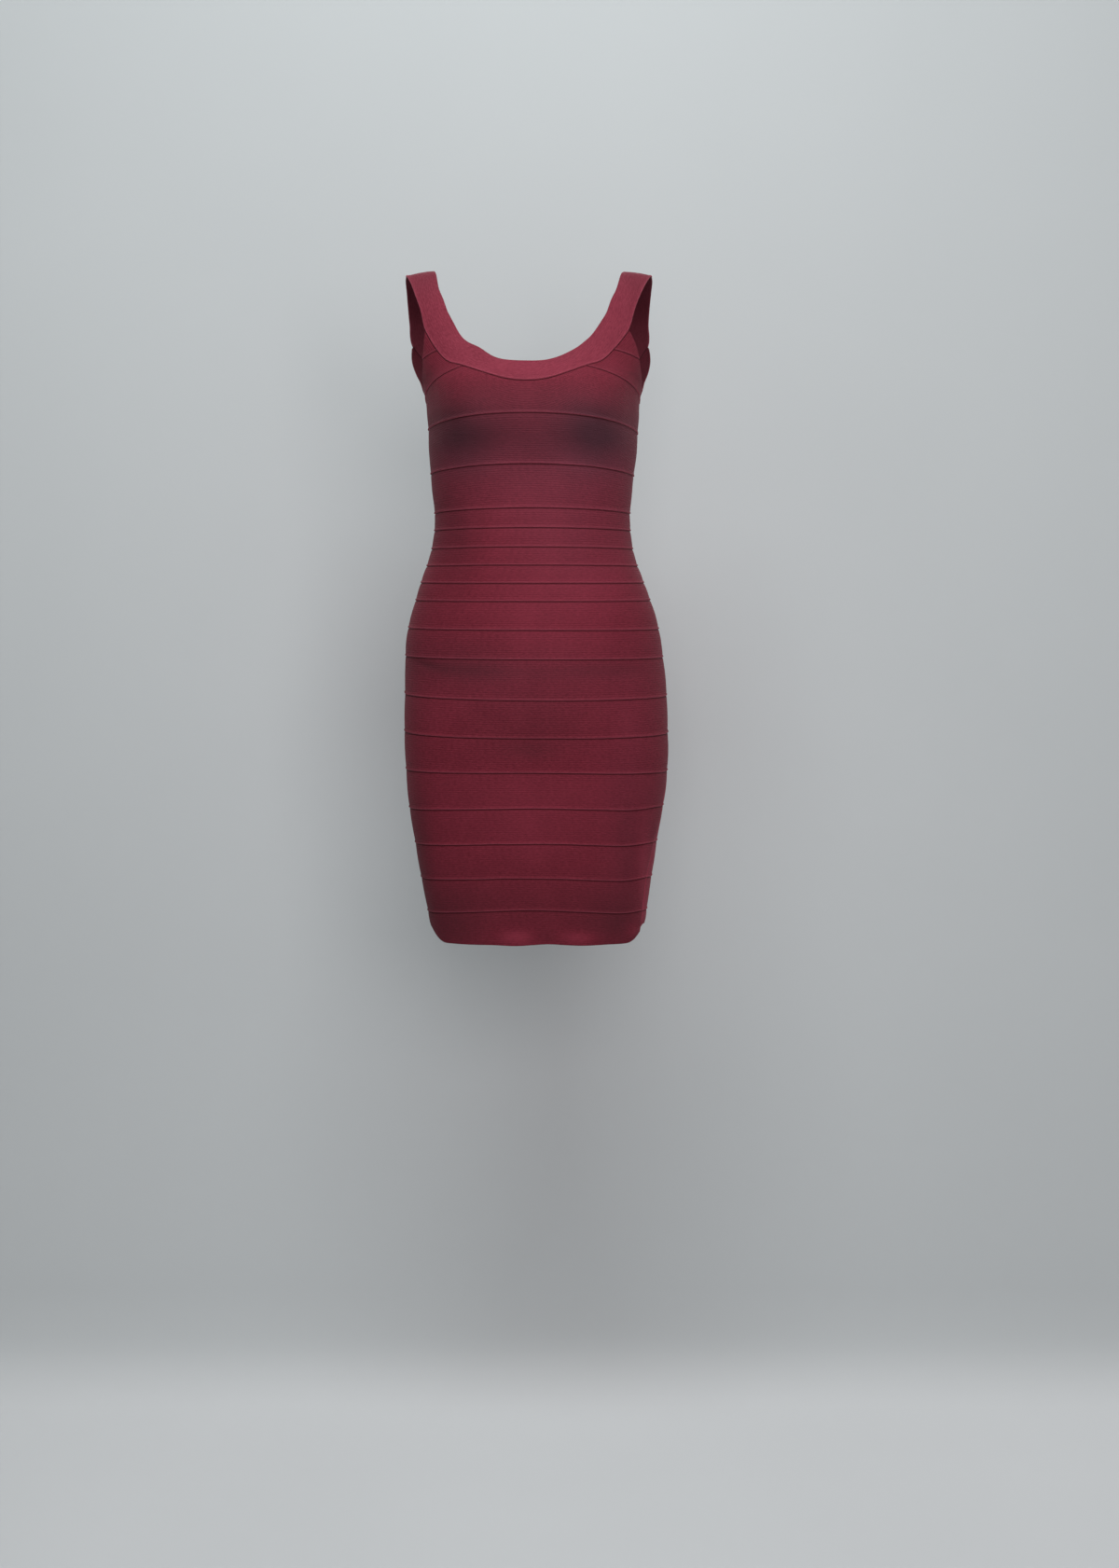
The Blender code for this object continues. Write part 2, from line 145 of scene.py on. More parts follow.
def read(table, columns, at, keys=None):
    """Reads each named column at the given keys, on a smooth curve through the table's rows."""
    keys = table[:, 0] if keys is None else keys
    slopes = np.gradient(table, keys, axis=0)
    at = np.asarray(at, float)
    row = np.clip(np.searchsorted(keys, at) - 1, 0, len(keys) - 2)
    span = (keys[row + 1] - keys[row])[..., None]
    t = (at - keys[row])[..., None] / span
    start = table[row] * (1 + 2 * t) * (1 - t) ** 2 + slopes[row] * span * t * (1 - t) ** 2
    end = table[row + 1] * t**2 * (3 - 2 * t) - slopes[row + 1] * span * t**2 * (1 - t)
    return dict(zip(columns, np.moveaxis(start + end, -1, 0)))


def section_of(side, z):
    """Half width, depth, squareness and lean of the section at height z, on one side."""
    form = read(FORM, FORM_COLUMNS, z)
    half = "front" if side == FRONT else "back"
    return form[half + "_half"], form[half + "_depth"], form[half + "_square"], form["lean"]


def cup_depth(x, z):
    """How far the bust cups lift the front."""
    across = np.abs(x)
    outer = bell(across - CUP_APART, CUP_OUTER_REACH)
    between = 1 - CUP_BRIDGE * (1 - (across / CUP_APART) ** 2) ** 2
    reach = np.where(z > CUP_Z, CUP_UPPER_REACH, CUP_LOWER_REACH)
    return CUP_DEPTH * np.where(across > CUP_APART, outer, between) * bell(z - CUP_Z, reach)


def cloth_point(side, u, h):
    """The middle of the cloth at a place. Past a side seam it runs on round the other side."""
    past = np.abs(u) > 1
    if past.any():
        here = cloth_point(side, np.where(past, 0, u), h)
        there = cloth_point(-side, np.where(past, np.sign(u) * (2 - np.abs(u)), 0), h)
        return np.where(past[..., None], there, here)
    turn = np.clip(h / CAP_HEIGHT + 1, 0, 1) * math.pi / 2
    z = np.where(h < -CAP_HEIGHT, h, CAP_HEIGHT * (np.sin(turn) - 1))
    half, depth, square, lean = section_of(side, z)
    across, along = np.sin(u * math.pi / 2), np.cos(u * math.pi / 2)
    size = (np.abs(across) ** square + np.abs(along) ** square) ** (1 / square)
    x = half * across / size
    y = depth * along / size
    if side == FRONT:
        y = y + cup_depth(x, z) * np.clip(CUP_SIDE_FADE * along / size, 0, 1)
    fall = SHOULDER_SLOPE * (np.abs(x) - STRAP_INNER) * np.sin(turn)
    top = SHOULDER_TOP * np.sin(turn)
    return np.stack([lean + x, side * y * np.cos(turn), z + top - fall], axis=-1)


def cloth_normal(side, u, h):
    """The outward direction of the cloth at a place."""
    end = np.maximum(np.abs(u), 1)
    over_u = cloth_point(side, np.clip(u + SLOPE_STEP, -end, end), h)
    over_u = over_u - cloth_point(side, np.clip(u - SLOPE_STEP, -end, end), h)
    over_h = cloth_point(side, u, np.minimum(h + SLOPE_STEP, 0))
    over_h = over_h - cloth_point(side, u, h - SLOPE_STEP)
    normal = -side * np.cross(over_u, over_h)
    return normal / np.linalg.norm(normal, axis=-1, keepdims=True)


print("middle of the waist, front:", cloth_point(FRONT, np.array(0.0), np.array(-0.28)).round(4))

# %% [markdown]
# ## The cutting lines
# Each piece is bounded by lines on the form: the two edges of a neckband, the armhole edges, the
# yoke seams, the seams between the bands, and the hem. Knitwear of this kind is built from the
# hem upwards in level bands, so a seam is nearly a level line that lifts or dips a little at the
# middle. All lines are read from short tables.

# %% Neckband and armhole edges
NECK_SWAY = -0.0065  # the front scoop hangs this far towards the wearer's right
SWAY_TOP, SWAY_FOOT = -0.045, -0.110  # the sway grows between these heights
SHOULDER_NIP, NIP_ROWS = 0.0026, 0.30  # how far the seam draws a strap's edges in, over how many rows
RIPPLE_ROW, RIPPLE_ROWS = 6.35, 1.0  # where the neckline buckles on the right, and how widely
RIPPLE_RISE = 0.0048
RIPPLE_STEEP, RIPPLE_SOFT = 1.8, 0.8  # how fast it fades towards the middle, and towards the strap
ARMHOLE_ROW, FIRST_SEAM_ROW, SECOND_SEAM_ROW = 3, 4, 6  # rows of the neckband table
FIRST_SEAM_EDGE = 2  # row of the front armhole at which the first yoke seam meets it
TIP_SHARE = 0.15  # an armhole's row 0 is this far from the neckband to its table's first row
TIP_OUT = 0.0035  # and this step in u further out

NECKBAND = {  # inner x, inner z, outer x, outer z
    FRONT: millimetres(
        (106.4, 0, 142, -5.5),
        (100, -19, 127, -25),
        (92.3, -38.2, 118.8, -47.5),
        (84.8, -55.5, 112.5, -69),
        (73.8, -74.2, 97.5, -92),
        (65, -84.4, 84.5, -105.5),
        (54.5, -93, 67.5, -111.8),
        (40, -100.8, 48, -119),
        (26, -105.2, 30, -124.8),
        (13, -106.6, 15, -127.9),
        (0, -106.8, 0, -128.8),
    ),
    BACK: millimetres(
        (106.4, 0, 142, -5.5),
        (108.5, -22, 140.5, -24),
        (108, -42, 139, -46),
        (105, -60, 137, -74),
        (97, -76, 119, -96),
        (85, -87, 100, -111),
        (71, -95, 81, -121.5),
        (54, -102, 61, -129.5),
        (36, -106.5, 40, -135),
        (18, -109, 20, -138),
        (0, -109.8, 0, -139),
    ),
}
ARMHOLE = {  # x, z. The last two rows are on the side seam.
    FRONT: millimetres(
        (118.5, -85.7),
        (120.7, -99.5),
        (121.6, -109.7),
        (122.9, -120.4),
        (123.3, -126.2),
        (140, -131),
        (140, -145),
    ),
    BACK: millimetres(
        (138.8, -91.2),
        (137.3, -99.3),
        (134.5, -107.5),
        (130, -117),
        (127.3, -124.3),
        (160, -131),
        (160, -145),
    ),
}


def place(side, x, z):
    """The place (u, h) of a point seen from the front, x from the section's middle."""
    lift = np.clip(z / CAP_HEIGHT + 1, -1, 1)
    h = np.where(z < -CAP_HEIGHT, z, CAP_HEIGHT * (np.arcsin(lift) * 2 / math.pi - 1))
    half, _, square, _ = section_of(side, z)
    share = np.clip(np.abs(x) / half, 0, 1) ** square
    u = np.arctan2(share ** (1 / square), (1 - share) ** (1 / square)) * 2 / math.pi
    return np.stack([np.sign(x) * u, h], axis=-1)


def sway(side, z):
    """How far the scoop has swung aside at height z."""
    return (NECK_SWAY if side == FRONT else 0) * eased((z - SWAY_TOP) / (SWAY_FOOT - SWAY_TOP))


def curve_through(places, at):
    """Places on a smooth curve through a short row of places, at whole and part rows."""
    found = read(places, ("u", "h"), at, keys=np.arange(len(places), dtype=float))
    return np.stack([np.clip(found["u"], -1, 1), np.minimum(found["h"], 0)], axis=-1)


def neckband_edge(side, hand, edge, at):
    """Half a neckband's inner or outer edge, from the shoulder seam towards the middle."""
    x, z = NECKBAND[side][:, (0, 1) if edge == "inner" else (2, 3)].T
    z = np.where(z > -CAP_HEIGHT / 2, z + SHOULDER_SLOPE * (x - STRAP_INNER), z)
    places = curve_through(place(side, hand * x + sway(side, z), np.minimum(z, 0)), at)
    nip = SHOULDER_NIP * bell(at, NIP_ROWS) / STRAP_INNER * places[0, 0]
    places[:, 0] += nip if edge == "inner" else -nip
    if (side, hand, edge) == (FRONT, -1, "inner"):
        off = (at - RIPPLE_ROW) / RIPPLE_ROWS
        places[:, 1] += RIPPLE_RISE * np.exp(-(off**2) * np.where(off > 0, RIPPLE_STEEP, RIPPLE_SOFT))
    return places


def armhole_edge(side, hand, at):
    """An armhole edge, from the neckband to the underarm, then a little way down the side seam."""
    x, z = ARMHOLE[side].T
    places = place(side, hand * x, z)
    start = neckband_edge(side, hand, "outer", np.array([ARMHOLE_ROW]))
    tip = start * (1 - TIP_SHARE) + places[:1] * TIP_SHARE + (hand * TIP_OUT, 0)
    places = np.concatenate([tip, places])
    last = len(places) - 2
    edge = curve_through(places[:-1], np.minimum(at, last))
    down = np.maximum(at - last, 0)[:, None]
    return edge * (1 - down) + places[-1] * down


print("scoop, front and back:", NECKBAND[FRONT][-1, 1], NECKBAND[BACK][-1, 1], "m")

# %% Seams between the bands
SIDE_SWING = 0.32  # share of the front's left half that the left side seam has crossed at the hem
SWING_TOP, SWING_FOOT = -0.520, -0.690  # the swing grows between these heights
LEFT_LIFT = 0.0042  # the swung seam draws the lower bands up towards it
LIFT_FROM, LIFT_SPAN, LIFT_TO, LIFT_FADE = 0.42, 0.30, 0.90, 0.50  # in u, from the front's middle
LIFT_TOP, LIFT_DROP = -0.560, 0.060  # bands below this height lift, fully so this much lower
HEM_DIP, HEM_DIP_U, HEM_DIP_REACH = -0.0022, 0.50, 0.16  # the front hem hangs lower on the left
NOTCH_RISE, NOTCH_REACH = 0.0048, 0.07  # the back's hem ends higher where it meets the front's

SEAM_COLUMNS = ("side_z", "front_rise", "back_rise", "tilt")
SEAMS = millimetres(
    (-177.5, 14, 3, 2),
    (-225.8, 8.5, 2, 1),
    (-269.3, 4, 1, 0),
    (-289.1, 2, 0, 0),
    (-310.1, 1.7, 0, 0),
    (-329.5, 1, 0, 0),
    (-348.5, -0.3, 0, 0),
    (-368.5, -0.3, 0, 0),
    (-400.7, 0.2, 0, 0.8),
    (-432.9, 0, 0, 1),
    (-476.6, -1.7, 1, 1.4),
    (-519.8, -1, 2, 1.2),
    (-564.3, 4.8, 3, 1.4),
    (-608.6, 8.4, 4, 0.6),
    (-650.3, 9.4, 4, 1.2),
    (-691.2, 9.8, 4, 1.8),
    (-731.3, 12.4, 4, 1.4),
    (-745.2, -15.4, -8, -1.6),
)
HEM_FADE = (0.78, 0.54)  # the hem's rise grows inwards between these places in u


def seam_height(side, row, u):
    """Height of a seam between bands at u, which may lie past a side seam."""
    at = dict(zip(SEAM_COLUMNS, SEAMS[row]))
    is_hem = row == len(SEAMS) - 1
    fade_from, fade_to = HEM_FADE if is_hem else (1, 0)
    front = (side == FRONT) == (np.abs(u) <= 1)
    u = np.where(np.abs(u) <= 1, u, np.sign(u) * (2 - np.abs(u)))
    inwards = eased((fade_from - np.abs(u)) / (fade_from - fade_to))
    rise = np.where(front, at["front_rise"], at["back_rise"]) * inwards
    if is_hem:
        rise = rise + np.where(front, HEM_DIP * bell(u - HEM_DIP_U, HEM_DIP_REACH), 0)
    else:
        from_front = np.where(front, u, 2 - u)
        near_seam = eased((from_front - LIFT_FROM) / LIFT_SPAN)
        near_seam = near_seam * (1 - eased((from_front - LIFT_TO) / LIFT_FADE))
        rise = rise + LEFT_LIFT * np.clip((LIFT_TOP - at["side_z"]) / LIFT_DROP, 0, 1) * near_seam
    return at["side_z"] + rise - at["tilt"] * u


def seam_line(side, row, count):
    """Places along a seam between bands, from the right side seam to the left one."""
    swing = SIDE_SWING * eased((SWING_TOP - SEAMS[row, 0]) / (SWING_TOP - SWING_FOOT))
    u = np.linspace(-1, 1, count)
    u = np.where(u > 0, u * (1 + side * swing), u)
    h = seam_height(side, row, u)
    if side == BACK and row == len(SEAMS) - 1:
        h += NOTCH_RISE * bell(u[-1] - u, NOTCH_REACH)
    return np.stack([u, h], axis=-1)


print("bands:", len(SEAMS), "on each side")

# %% [markdown]
# ## The pattern pieces
# A pattern piece is a patch between two lines that run side by side, its top and its foot. Each of
# its four edges is finished in one of four ways. A tucked edge goes a little way under its
# neighbour, a welt lies over it and stands proud, a seam meets its neighbour edge to edge, and a
# free edge is turned in and ends round. The list below is the dress's cutting list.

# %% Cut the pieces
TUCK = 0.0008  # how far a tucked edge goes under its neighbour
LINE_POINTS = 241  # places kept along each line, before the mesh is laid out


class Piece:
    """A patch of the form: matching places along its top and its foot, and how each edge ends."""

    def __init__(self, name, side, top, foot, *finishes):
        self.name, self.side, self.top, self.foot = name, side, top, foot
        self.finish = dict(zip(("top", "foot", "first", "last"), finishes))


def whole(right, left):
    """Two half lines that run towards the middle, as one line from right to left."""
    return np.concatenate([right, left[-2::-1]])


def cut_neckband(word, side):
    """A curved strip from one shoulder seam, round the scoop, to the other."""
    rows = np.linspace(0, len(NECKBAND[side]) - 1, LINE_POINTS)
    inner, outer = (
        whole(*(neckband_edge(side, hand, edge, rows) for hand in (-1, 1)))
        for edge in ("inner", "outer")
    )
    return Piece(f"{word}_neckband", side, inner, outer, "free", "welt", "seam", "seam")


def cut_yoke_piece(name, side, hand, neck_rows, edge_rows, first):
    """A piece between the neckband and an armhole. Its lines run downwards."""
    top = neckband_edge(side, hand, "outer", np.linspace(*neck_rows, LINE_POINTS))
    foot = armhole_edge(side, hand, np.linspace(*edge_rows, LINE_POINTS))
    return Piece(name, side, top, foot, "tuck", "free", first, "welt")


def cut_top_band(word, side):
    """The band under the neckband: its top follows the yoke seams and the scoop."""
    halves = []
    for hand in (-1, 1):
        rows = np.linspace(SECOND_SEAM_ROW, len(NECKBAND[side]) - 1, LINE_POINTS)
        scoop = neckband_edge(side, hand, "outer", rows)
        part = np.linspace(0, 1, LINE_POINTS // 2)[:-1, None]
        yoke = (1 - part) * (hand, ARMHOLE[side][-1, 1]) + part * scoop[0]
        halves.append(np.concatenate([yoke, scoop]))
    top = whole(*halves)
    foot = np.stack([top[:, 0], seam_height(side, 0, top[:, 0])], axis=-1)
    return Piece(f"{word}_band_01", side, top, foot, "tuck", "welt", "seam", "seam")


def cut_band(word, side, row):
    top, foot = (seam_line(side, r, LINE_POINTS) for r in (row, row + 1))
    foot_edge = "free" if row + 2 == len(SEAMS) else "welt"
    return Piece(f"{word}_band_{row + 2:02d}", side, top, foot, "tuck", foot_edge, "seam", "seam")


def cut_side(word, side):
    """Every piece of the front or of the back."""
    cut = [cut_neckband(word, side), cut_top_band(word, side)]
    cut += [cut_band(word, side, row) for row in range(len(SEAMS) - 1)]
    last = len(ARMHOLE[side])
    for hand_word, hand in (("right", -1), ("left", 1)):
        if side == BACK:
            rows = (ARMHOLE_ROW, SECOND_SEAM_ROW), (0, last)
            cut.append(cut_yoke_piece(f"back_{hand_word}_yoke", side, hand, *rows, "free"))
            continue
        upper = (ARMHOLE_ROW, FIRST_SEAM_ROW), (0, FIRST_SEAM_EDGE)
        lower = (FIRST_SEAM_ROW, SECOND_SEAM_ROW), (FIRST_SEAM_EDGE, last)
        for part, rows, first in (("upper", upper, "free"), ("lower", lower, "tuck")):
            cut.append(cut_yoke_piece(f"front_{hand_word}_{part}_yoke", side, hand, *rows, first))
    return cut


cutting_list = cut_side("front", FRONT) + cut_side("back", BACK)
print("cutting list:", len(cutting_list), "pieces")

# %% [markdown]
# ## Creases and unevenness
# Cloth that is pulled tight over a round form still isn't even. It dips where the form is hollow,
# bridges under the bust, and dimples where two tensions meet. Each crease here is one soft trough (or
# ridge, where its depth is negative), placed with its own length, width and lean, and a few slow waves
# run over the whole cloth.

# %% Place the creases
CREASES = {  # x, z, length, width and depth in millimetres, lean in degrees
    FRONT: (
        # under the bust
        (-66, -204, 36, 17, 3.4, 6), (66, -207, 34, 16, 3.2, -7),
        # hollows beside the waist
        (-88, -290, 12, 34, 1.4, 14), (90, -300, 11, 30, 1, -12),
        # the wearer's right hip, and its fainter fellow
        (-119, -439.5, 15, 4.2, 1.8, -12), (116, -446, 12, 10, 0.8, -20),
        # below the belly
        (4, -527, 40, 12, 1.4, 3), (-50, -497, 34, 9, 0.8, -24),
        (52, -500, 32, 9, 0.7, 26),
        # the neckline's buckle
        (-50, -104, 12, 5, -1, -38), (-64, -99, 12, 5, 0.8, -42),
        # the hem flares and dips
        (-19, -762, 19, 14, -3.4, 0), (57, -762, 22, 14, -3.4, 4),
        (18, -758, 12, 16, 1.6, 12), (92, -756, 14, 12, 1.4, -10),
        (-90, -750, 14, 20, 1, 20),
        # drawn in towards the hem
        (-40, -655, 10, 50, 0.8, 5), (36, -668, 10, 46, 0.7, -6),
    ),
    BACK: (
        # the hem flares and dips
        (-48, -752, 20, 16, -1.6, 0), (52, -752, 18, 15, -1.8, 0),
        (4, -750, 16, 16, 1.2, 0),
        # the small of the back and below the seat
        (-50, -300, 42, 10, 1.3, 9), (56, -314, 38, 10, 1.2, -11),
        (-66, -612, 40, 11, 1.4, 7), (62, -618, 36, 12, 1.3, -8),
        (4, -205, 14, 40, 0.9, 2),
    ),
}
WAVES = (  # size, turns per metre across, turns per metre up, start
    (0.00030, 7.0, 4.0, 0.4),
    (0.00022, -5.0, 11.0, 2.1),
    (0.00016, 13.0, 8.0, 4.4),
)


def soft_patches(table, side, points):
    """The sum of one side's soft oval patches at each point."""
    total = np.zeros(points.shape[:-1])
    for x, z, length, width, size, lean in table[side]:
        right, up = points[..., 0] * 1000 - x, points[..., 2] * 1000 - z
        turn = math.radians(lean)
        along = right * math.cos(turn) + up * math.sin(turn)
        over = up * math.cos(turn) - right * math.sin(turn)
        total += size * bell(along, length) * bell(over, width)
    return total


def unevenness(side, points):
    """How far the cloth stands out from the fitted form at each point."""
    x, z = points[..., 0], points[..., 2]
    out = -soft_patches(CREASES, side, points) / 1000
    for size, over, up, start in WAVES:
        out += size * np.sin(2 * math.pi * (over * x + up * z) + start + side)
    return out


def creased(side, places):
    """Points of the cloth with its creases, and its outward direction there."""
    points = cloth_point(side, places[..., 0], places[..., 1])
    outward = cloth_normal(side, places[..., 0], places[..., 1])
    return points + outward * unevenness(side, points)[..., None], outward


print("creases:", sum(map(len, CREASES.values())))

# %% [markdown]
# ## Where the knit is pulled open, with painted light and shade
# A knit changes tone as it stretches. Pulled hard, its loops open, less yarn faces you, and it looks
# darker and greyer. Where it only lies on the form, its loops close up and the red is full. These soft
# patches darken the knit where it is pulled hard and lighten it where it is slack (a negative pull).
# They also paint light and shade: painted shade under the bust, at the waist's hollows, across the
# hips, below the belly and round the sides of the hem; painted lights and darks on the hem's flares;
# and painted light down the middle of the ribs and belly. A short table of its own paints a greyish
# sheen, strongest below the bust: painted sheen, the grey haze that light from above lays on the red.

# %% Place the pulls, with painted light and shade
PULLS_AND_PAINTED_LIGHT = {  # x, z, length and width in millimetres, pull (positive: pulled knit and painted shade; negative: slack knit and painted light), lean in degrees
    FRONT: (
        # the shoulders, the scoop and the yokes
        (-120, -8, 30, 28, 0.26, 0), (120, -8, 30, 28, 0.26, 0),
        (0, -117, 60, 11, -0.3, 0), (-92, -115, 20, 13, -0.2, 35),
        (91, -115, 20, 13, -0.2, -35),
        # painted shade on the lower half of the bust, where the knit is pulled
        (-76, -176, 54, 36, 0.42, 8), (78, -178, 54, 36, 0.42, -8),
        (0, -192, 50, 26, 0.2, 0), (-84, -164, 34, 14, 0.3, 8),
        (64, -165, 34, 14, 0.4, -8), (-4, -163, 40, 10, 0.12, 0),
        (-80, -192, 32, 18, 0.34, 5), (71, -195, 28, 18, 0.34, -6),
        (72, -186, 34, 13, 0.4, -6), (-78, -186, 32, 12, 0.16, 6),
        (-74, -218, 32, 16, 0.24, 0), (64, -216, 28, 14, 0.14, 0),
        (0, -143, 70, 12, 0.12, 0),
        # beside the waist
        (-92, -300, 26, 60, 0.26, 0), (-76, -280, 28, 70, 0.16, 0),
        (-112, -336, 16, 22, -0.14, 0), (64, -352, 50, 26, -0.18, 0),
        # painted shade across the hips, under a seam
        (-74, -444.5, 65, 10, 0.42, -2), (-70, -430, 75, 34, 0.24, 0),
        (72, -445, 62, 9.5, 0.34, 0), (-119, -439.5, 18, 3.4, 0.3, -12),
        # painted shade in the hollow below the belly, and painted light on the thighs beside it
        (0, -505, 75, 36, 0.2, 2), (-4, -534, 30, 10, 0.28, 0),
        (-107, -501, 20, 24, -0.12, 0), (107, -508, 22, 28, -0.14, 0),
        # the sides of the hem, and the lights and darks of its flares
        (-95, -740, 40, 50, 0.5, 0), (90, -740, 40, 50, 0.4, 0),
        (-5, -714, 110, 34, 0.18, 0), (-130, -660, 14, 80, 0.36, 0),
        (108, -650, 14, 60, 0.16, 0), (128, -690, 9, 60, -0.4, 0),
        (100, -733, 16, 18, 0.16, 0), (-19, -750, 22, 9, -0.46, 0),
        (16, -750, 13, 8, 0.2, 0), (54, -751, 26, 8, -0.48, -4),
        (116, -747, 8, 9, -0.45, 30),
        # slack knit, and painted light, down the middle
        (0, -270, 60, 60, -0.16, 0), (-4, -400, 75, 60, -0.2, 0),
        (0, -588, 90, 32, -0.14, 0), (0, -636, 55, 28, -0.14, 0),
    ),
    BACK: (
        # the shoulders
        (-120, -6, 30, 26, 0.2, 0), (120, -6, 30, 26, 0.2, 0),
        # painted light on the edge of the back that the swung side seam brings round to the front
        (150, -570, 10, 60, -0.5, 0), (140, -660, 12, 50, -0.6, 0),
        (129, -725, 10, 30, -0.6, 0),
        # between the shoulder blades, the small of the back, the seat and the sides of the hem
        (0, -190, 60, 50, -0.08, 0), (-52, -300, 50, 24, 0.22, 6),
        (56, -306, 50, 24, 0.22, -7), (-58, -500, 50, 60, -0.06, 0),
        (58, -500, 50, 60, -0.06, 0), (0, -480, 12, 70, 0.16, 0),
        (0, -610, 90, 24, 0.24, 0), (-98, -740, 34, 40, 0.26, 0),
        (98, -740, 34, 40, 0.26, 0),
    ),
}
PAINTED_SHEENS = {  # x, z, length and width in millimetres, painted sheen, lean in degrees
    FRONT: (
        (0, -205, 120, 64, 0.14, 0), (-78, -196, 50, 30, 0.09, 6),
        (76, -196, 50, 40, 0.18, -6), (50, -300, 70, 60, 0.07, 0),
        (0, -450, 140, 40, 0.05, 0), (110, -600, 30, 120, 0.05, 0),
    ),
    BACK: (
        (0, -200, 120, 70, 0.06, 0), (0, -610, 90, 30, 0.04, 0),
    ),
}
print("pulls_and_painted_light:", sum(map(len, PULLS_AND_PAINTED_LIGHT.values())), "painted_sheens:", sum(map(len, PAINTED_SHEENS.values())))

# %% [markdown]
# ## Laying out the mesh
# A linked edge is only 2 mm wide, so the mesh needs lines a few tenths of a millimetre apart
# there, while the flat middle of a band is well served by squares of 3 mm. The layout puts close
# lines at every edge and spreads the rest evenly. It also measures the distance from each point to
# each edge and keeps the results as attributes, so that the node tree can shape the edges by rule.

# %% Lay out a piece
EDGE_LINES = np.array([0, 0.12, 0.3, 0.55, 0.85, 1.2, 1.6, 2.1, 2.7]) / 1000  # from an edge
END_LINES = np.array([0, 0.3, 0.8, 1.6]) / 1000  # from a side seam
STEP = 0.0030  # between lines elsewhere
MIDDLE_ROOM = 2.4  # close lines are squeezed in a length under this many times their reach
MOST_TUCK = 0.25  # of a piece's own height
ROWS_TO_MEASURE = 13  # along a piece's height, to find its length on the form
SWELL_RISE = 0.004  # from the rim to the full swell
FAR = 1.0  # stands for the distance to an edge that a piece hasn't got


def spread(length, lines, step):
    """Shares of a length at which the mesh has a line: close at both ends, even between."""
    length = np.atleast_1d(length)
    room = np.minimum(1, length / (MIDDLE_ROOM * lines[-1]))
    near = lines[:, None] * room / length
    count = max(2, round((length.max() - 2 * lines[-1]) / step))
    part = np.linspace(0, 1, count + 1)[1:-1, None]
    middle = near[-1] * (1 - part) + (1 - near[-1]) * part
    return np.concatenate([near, middle, 1 - near[::-1]])


def run_length(points):
    """Distance run along each column of a grid of points, from its first row."""
    steps = np.linalg.norm(np.diff(points, axis=0), axis=-1)
    return np.concatenate([np.zeros((1, *steps.shape[1:])), np.cumsum(steps, axis=0)])


def lay_out(piece):
    """The piece's grid of places, from its top row down, close at the edges."""
    middle = (piece.top + piece.foot) / 2
    run = run_length(cloth_point(piece.side, middle[:, 0], middle[:, 1])[:, None])[:, 0]
    at = spread(run[-1], END_LINES, STEP)[:, 0] * run[-1]
    top, foot = (
        np.stack([np.interp(at, run, line[:, 0]), np.interp(at, run, line[:, 1])], axis=-1)
        for line in (piece.top, piece.foot)
    )
    coarse = np.linspace(0, 1, ROWS_TO_MEASURE)[:, None, None]
    drop = top * (1 - coarse) + foot * coarse
    height = run_length(cloth_point(piece.side, drop[..., 0], drop[..., 1]))[-1]
    if piece.finish["top"] == "tuck":
        top = top + (top - foot) * np.minimum(TUCK / height, MOST_TUCK)[:, None]
    part = spread(height, EDGE_LINES, STEP)[..., None]
    places = top * (1 - part) + foot * part
    if piece.finish["first"] == "tuck":
        ends = cloth_point(piece.side, places[:, :2, 0], places[:, :2, 1])
        gap = np.linalg.norm(ends[:, 1] - ends[:, 0], axis=-1)
        places[:, 0] += (places[:, 0] - places[:, 1]) * (TUCK / gap)[:, None]
    return places


def keep(mesh, name, values, kind="FLOAT"):
    """Keeps a number or a direction for each point of a mesh."""
    field = "value" if kind == "FLOAT" else "vector"
    mesh.attributes.new(name, kind, "POINT").data.foreach_set(field, np.ravel(values))


def piece_mesh(piece):
    """The piece's middle surface as a mesh, with the attributes that shape its edges."""
    points, outward = creased(piece.side, lay_out(piece))
    down, along = run_length(points), run_length(points.swapaxes(0, 1)).T
    away = {"top": down, "foot": down[-1] - down, "first": along, "last": along[:, -1:] - along}
    to_rim = np.minimum.reduce(list(away.values()))

    def nearest(*finishes):
        found = [away[edge] for edge, finish in piece.finish.items() if finish in finishes]
        return np.minimum.reduce([np.full_like(down, FAR)] + found)

    share = down / down[-1]
    swell = 4 * share * (1 - share) * np.clip(to_rim / SWELL_RISE, 0, 1)
    rows, columns = points.shape[:2]
    corner = np.arange(rows * columns).reshape(rows, columns)
    faces = np.stack([corner[:-1, :-1], corner[1:, :-1], corner[1:, 1:], corner[:-1, 1:]], axis=-1)
    facing = np.cross(points[1, 0] - points[0, 0], points[0, 1] - points[0, 0]) @ outward[0, 0]
    faces = faces.reshape(-1, 4)[:, :: 1 if facing > 0 else -1]
    mesh = bpy.data.meshes.new(piece.name)
    mesh.from_pydata(points.reshape(-1, 3).tolist(), [], faces.tolist())
    keep(mesh, "outward", outward, "FLOAT_VECTOR")
    values = {"to_rim": to_rim, "swell": swell, "to_end": nearest("free", "tuck")}
    values |= {"to_" + finish: nearest(finish) for finish in ("welt", "tuck", "seam")}
    # the knit's stretch tone, with painted light and shade
    values["pull_and_painted_light"] = soft_patches(PULLS_AND_PAINTED_LIGHT, piece.side, points)
    # a greyish painted sheen, where light from above greys the red
    values["bloom"] = soft_patches(PAINTED_SHEENS, piece.side, points)
    for name, value in values.items():
        keep(mesh, name, value)
    cut = np.stack([along, down], axis=-1).reshape(-1, 2)
    mesh.uv_layers.new(name="cut").data.foreach_set("uv", cut[faces.ravel()].ravel())
    piece.length, piece.height = along[:, -1].max(), down[-1].max()
    piece.area = sum(polygon.area for polygon in mesh.polygons)
    return mesh


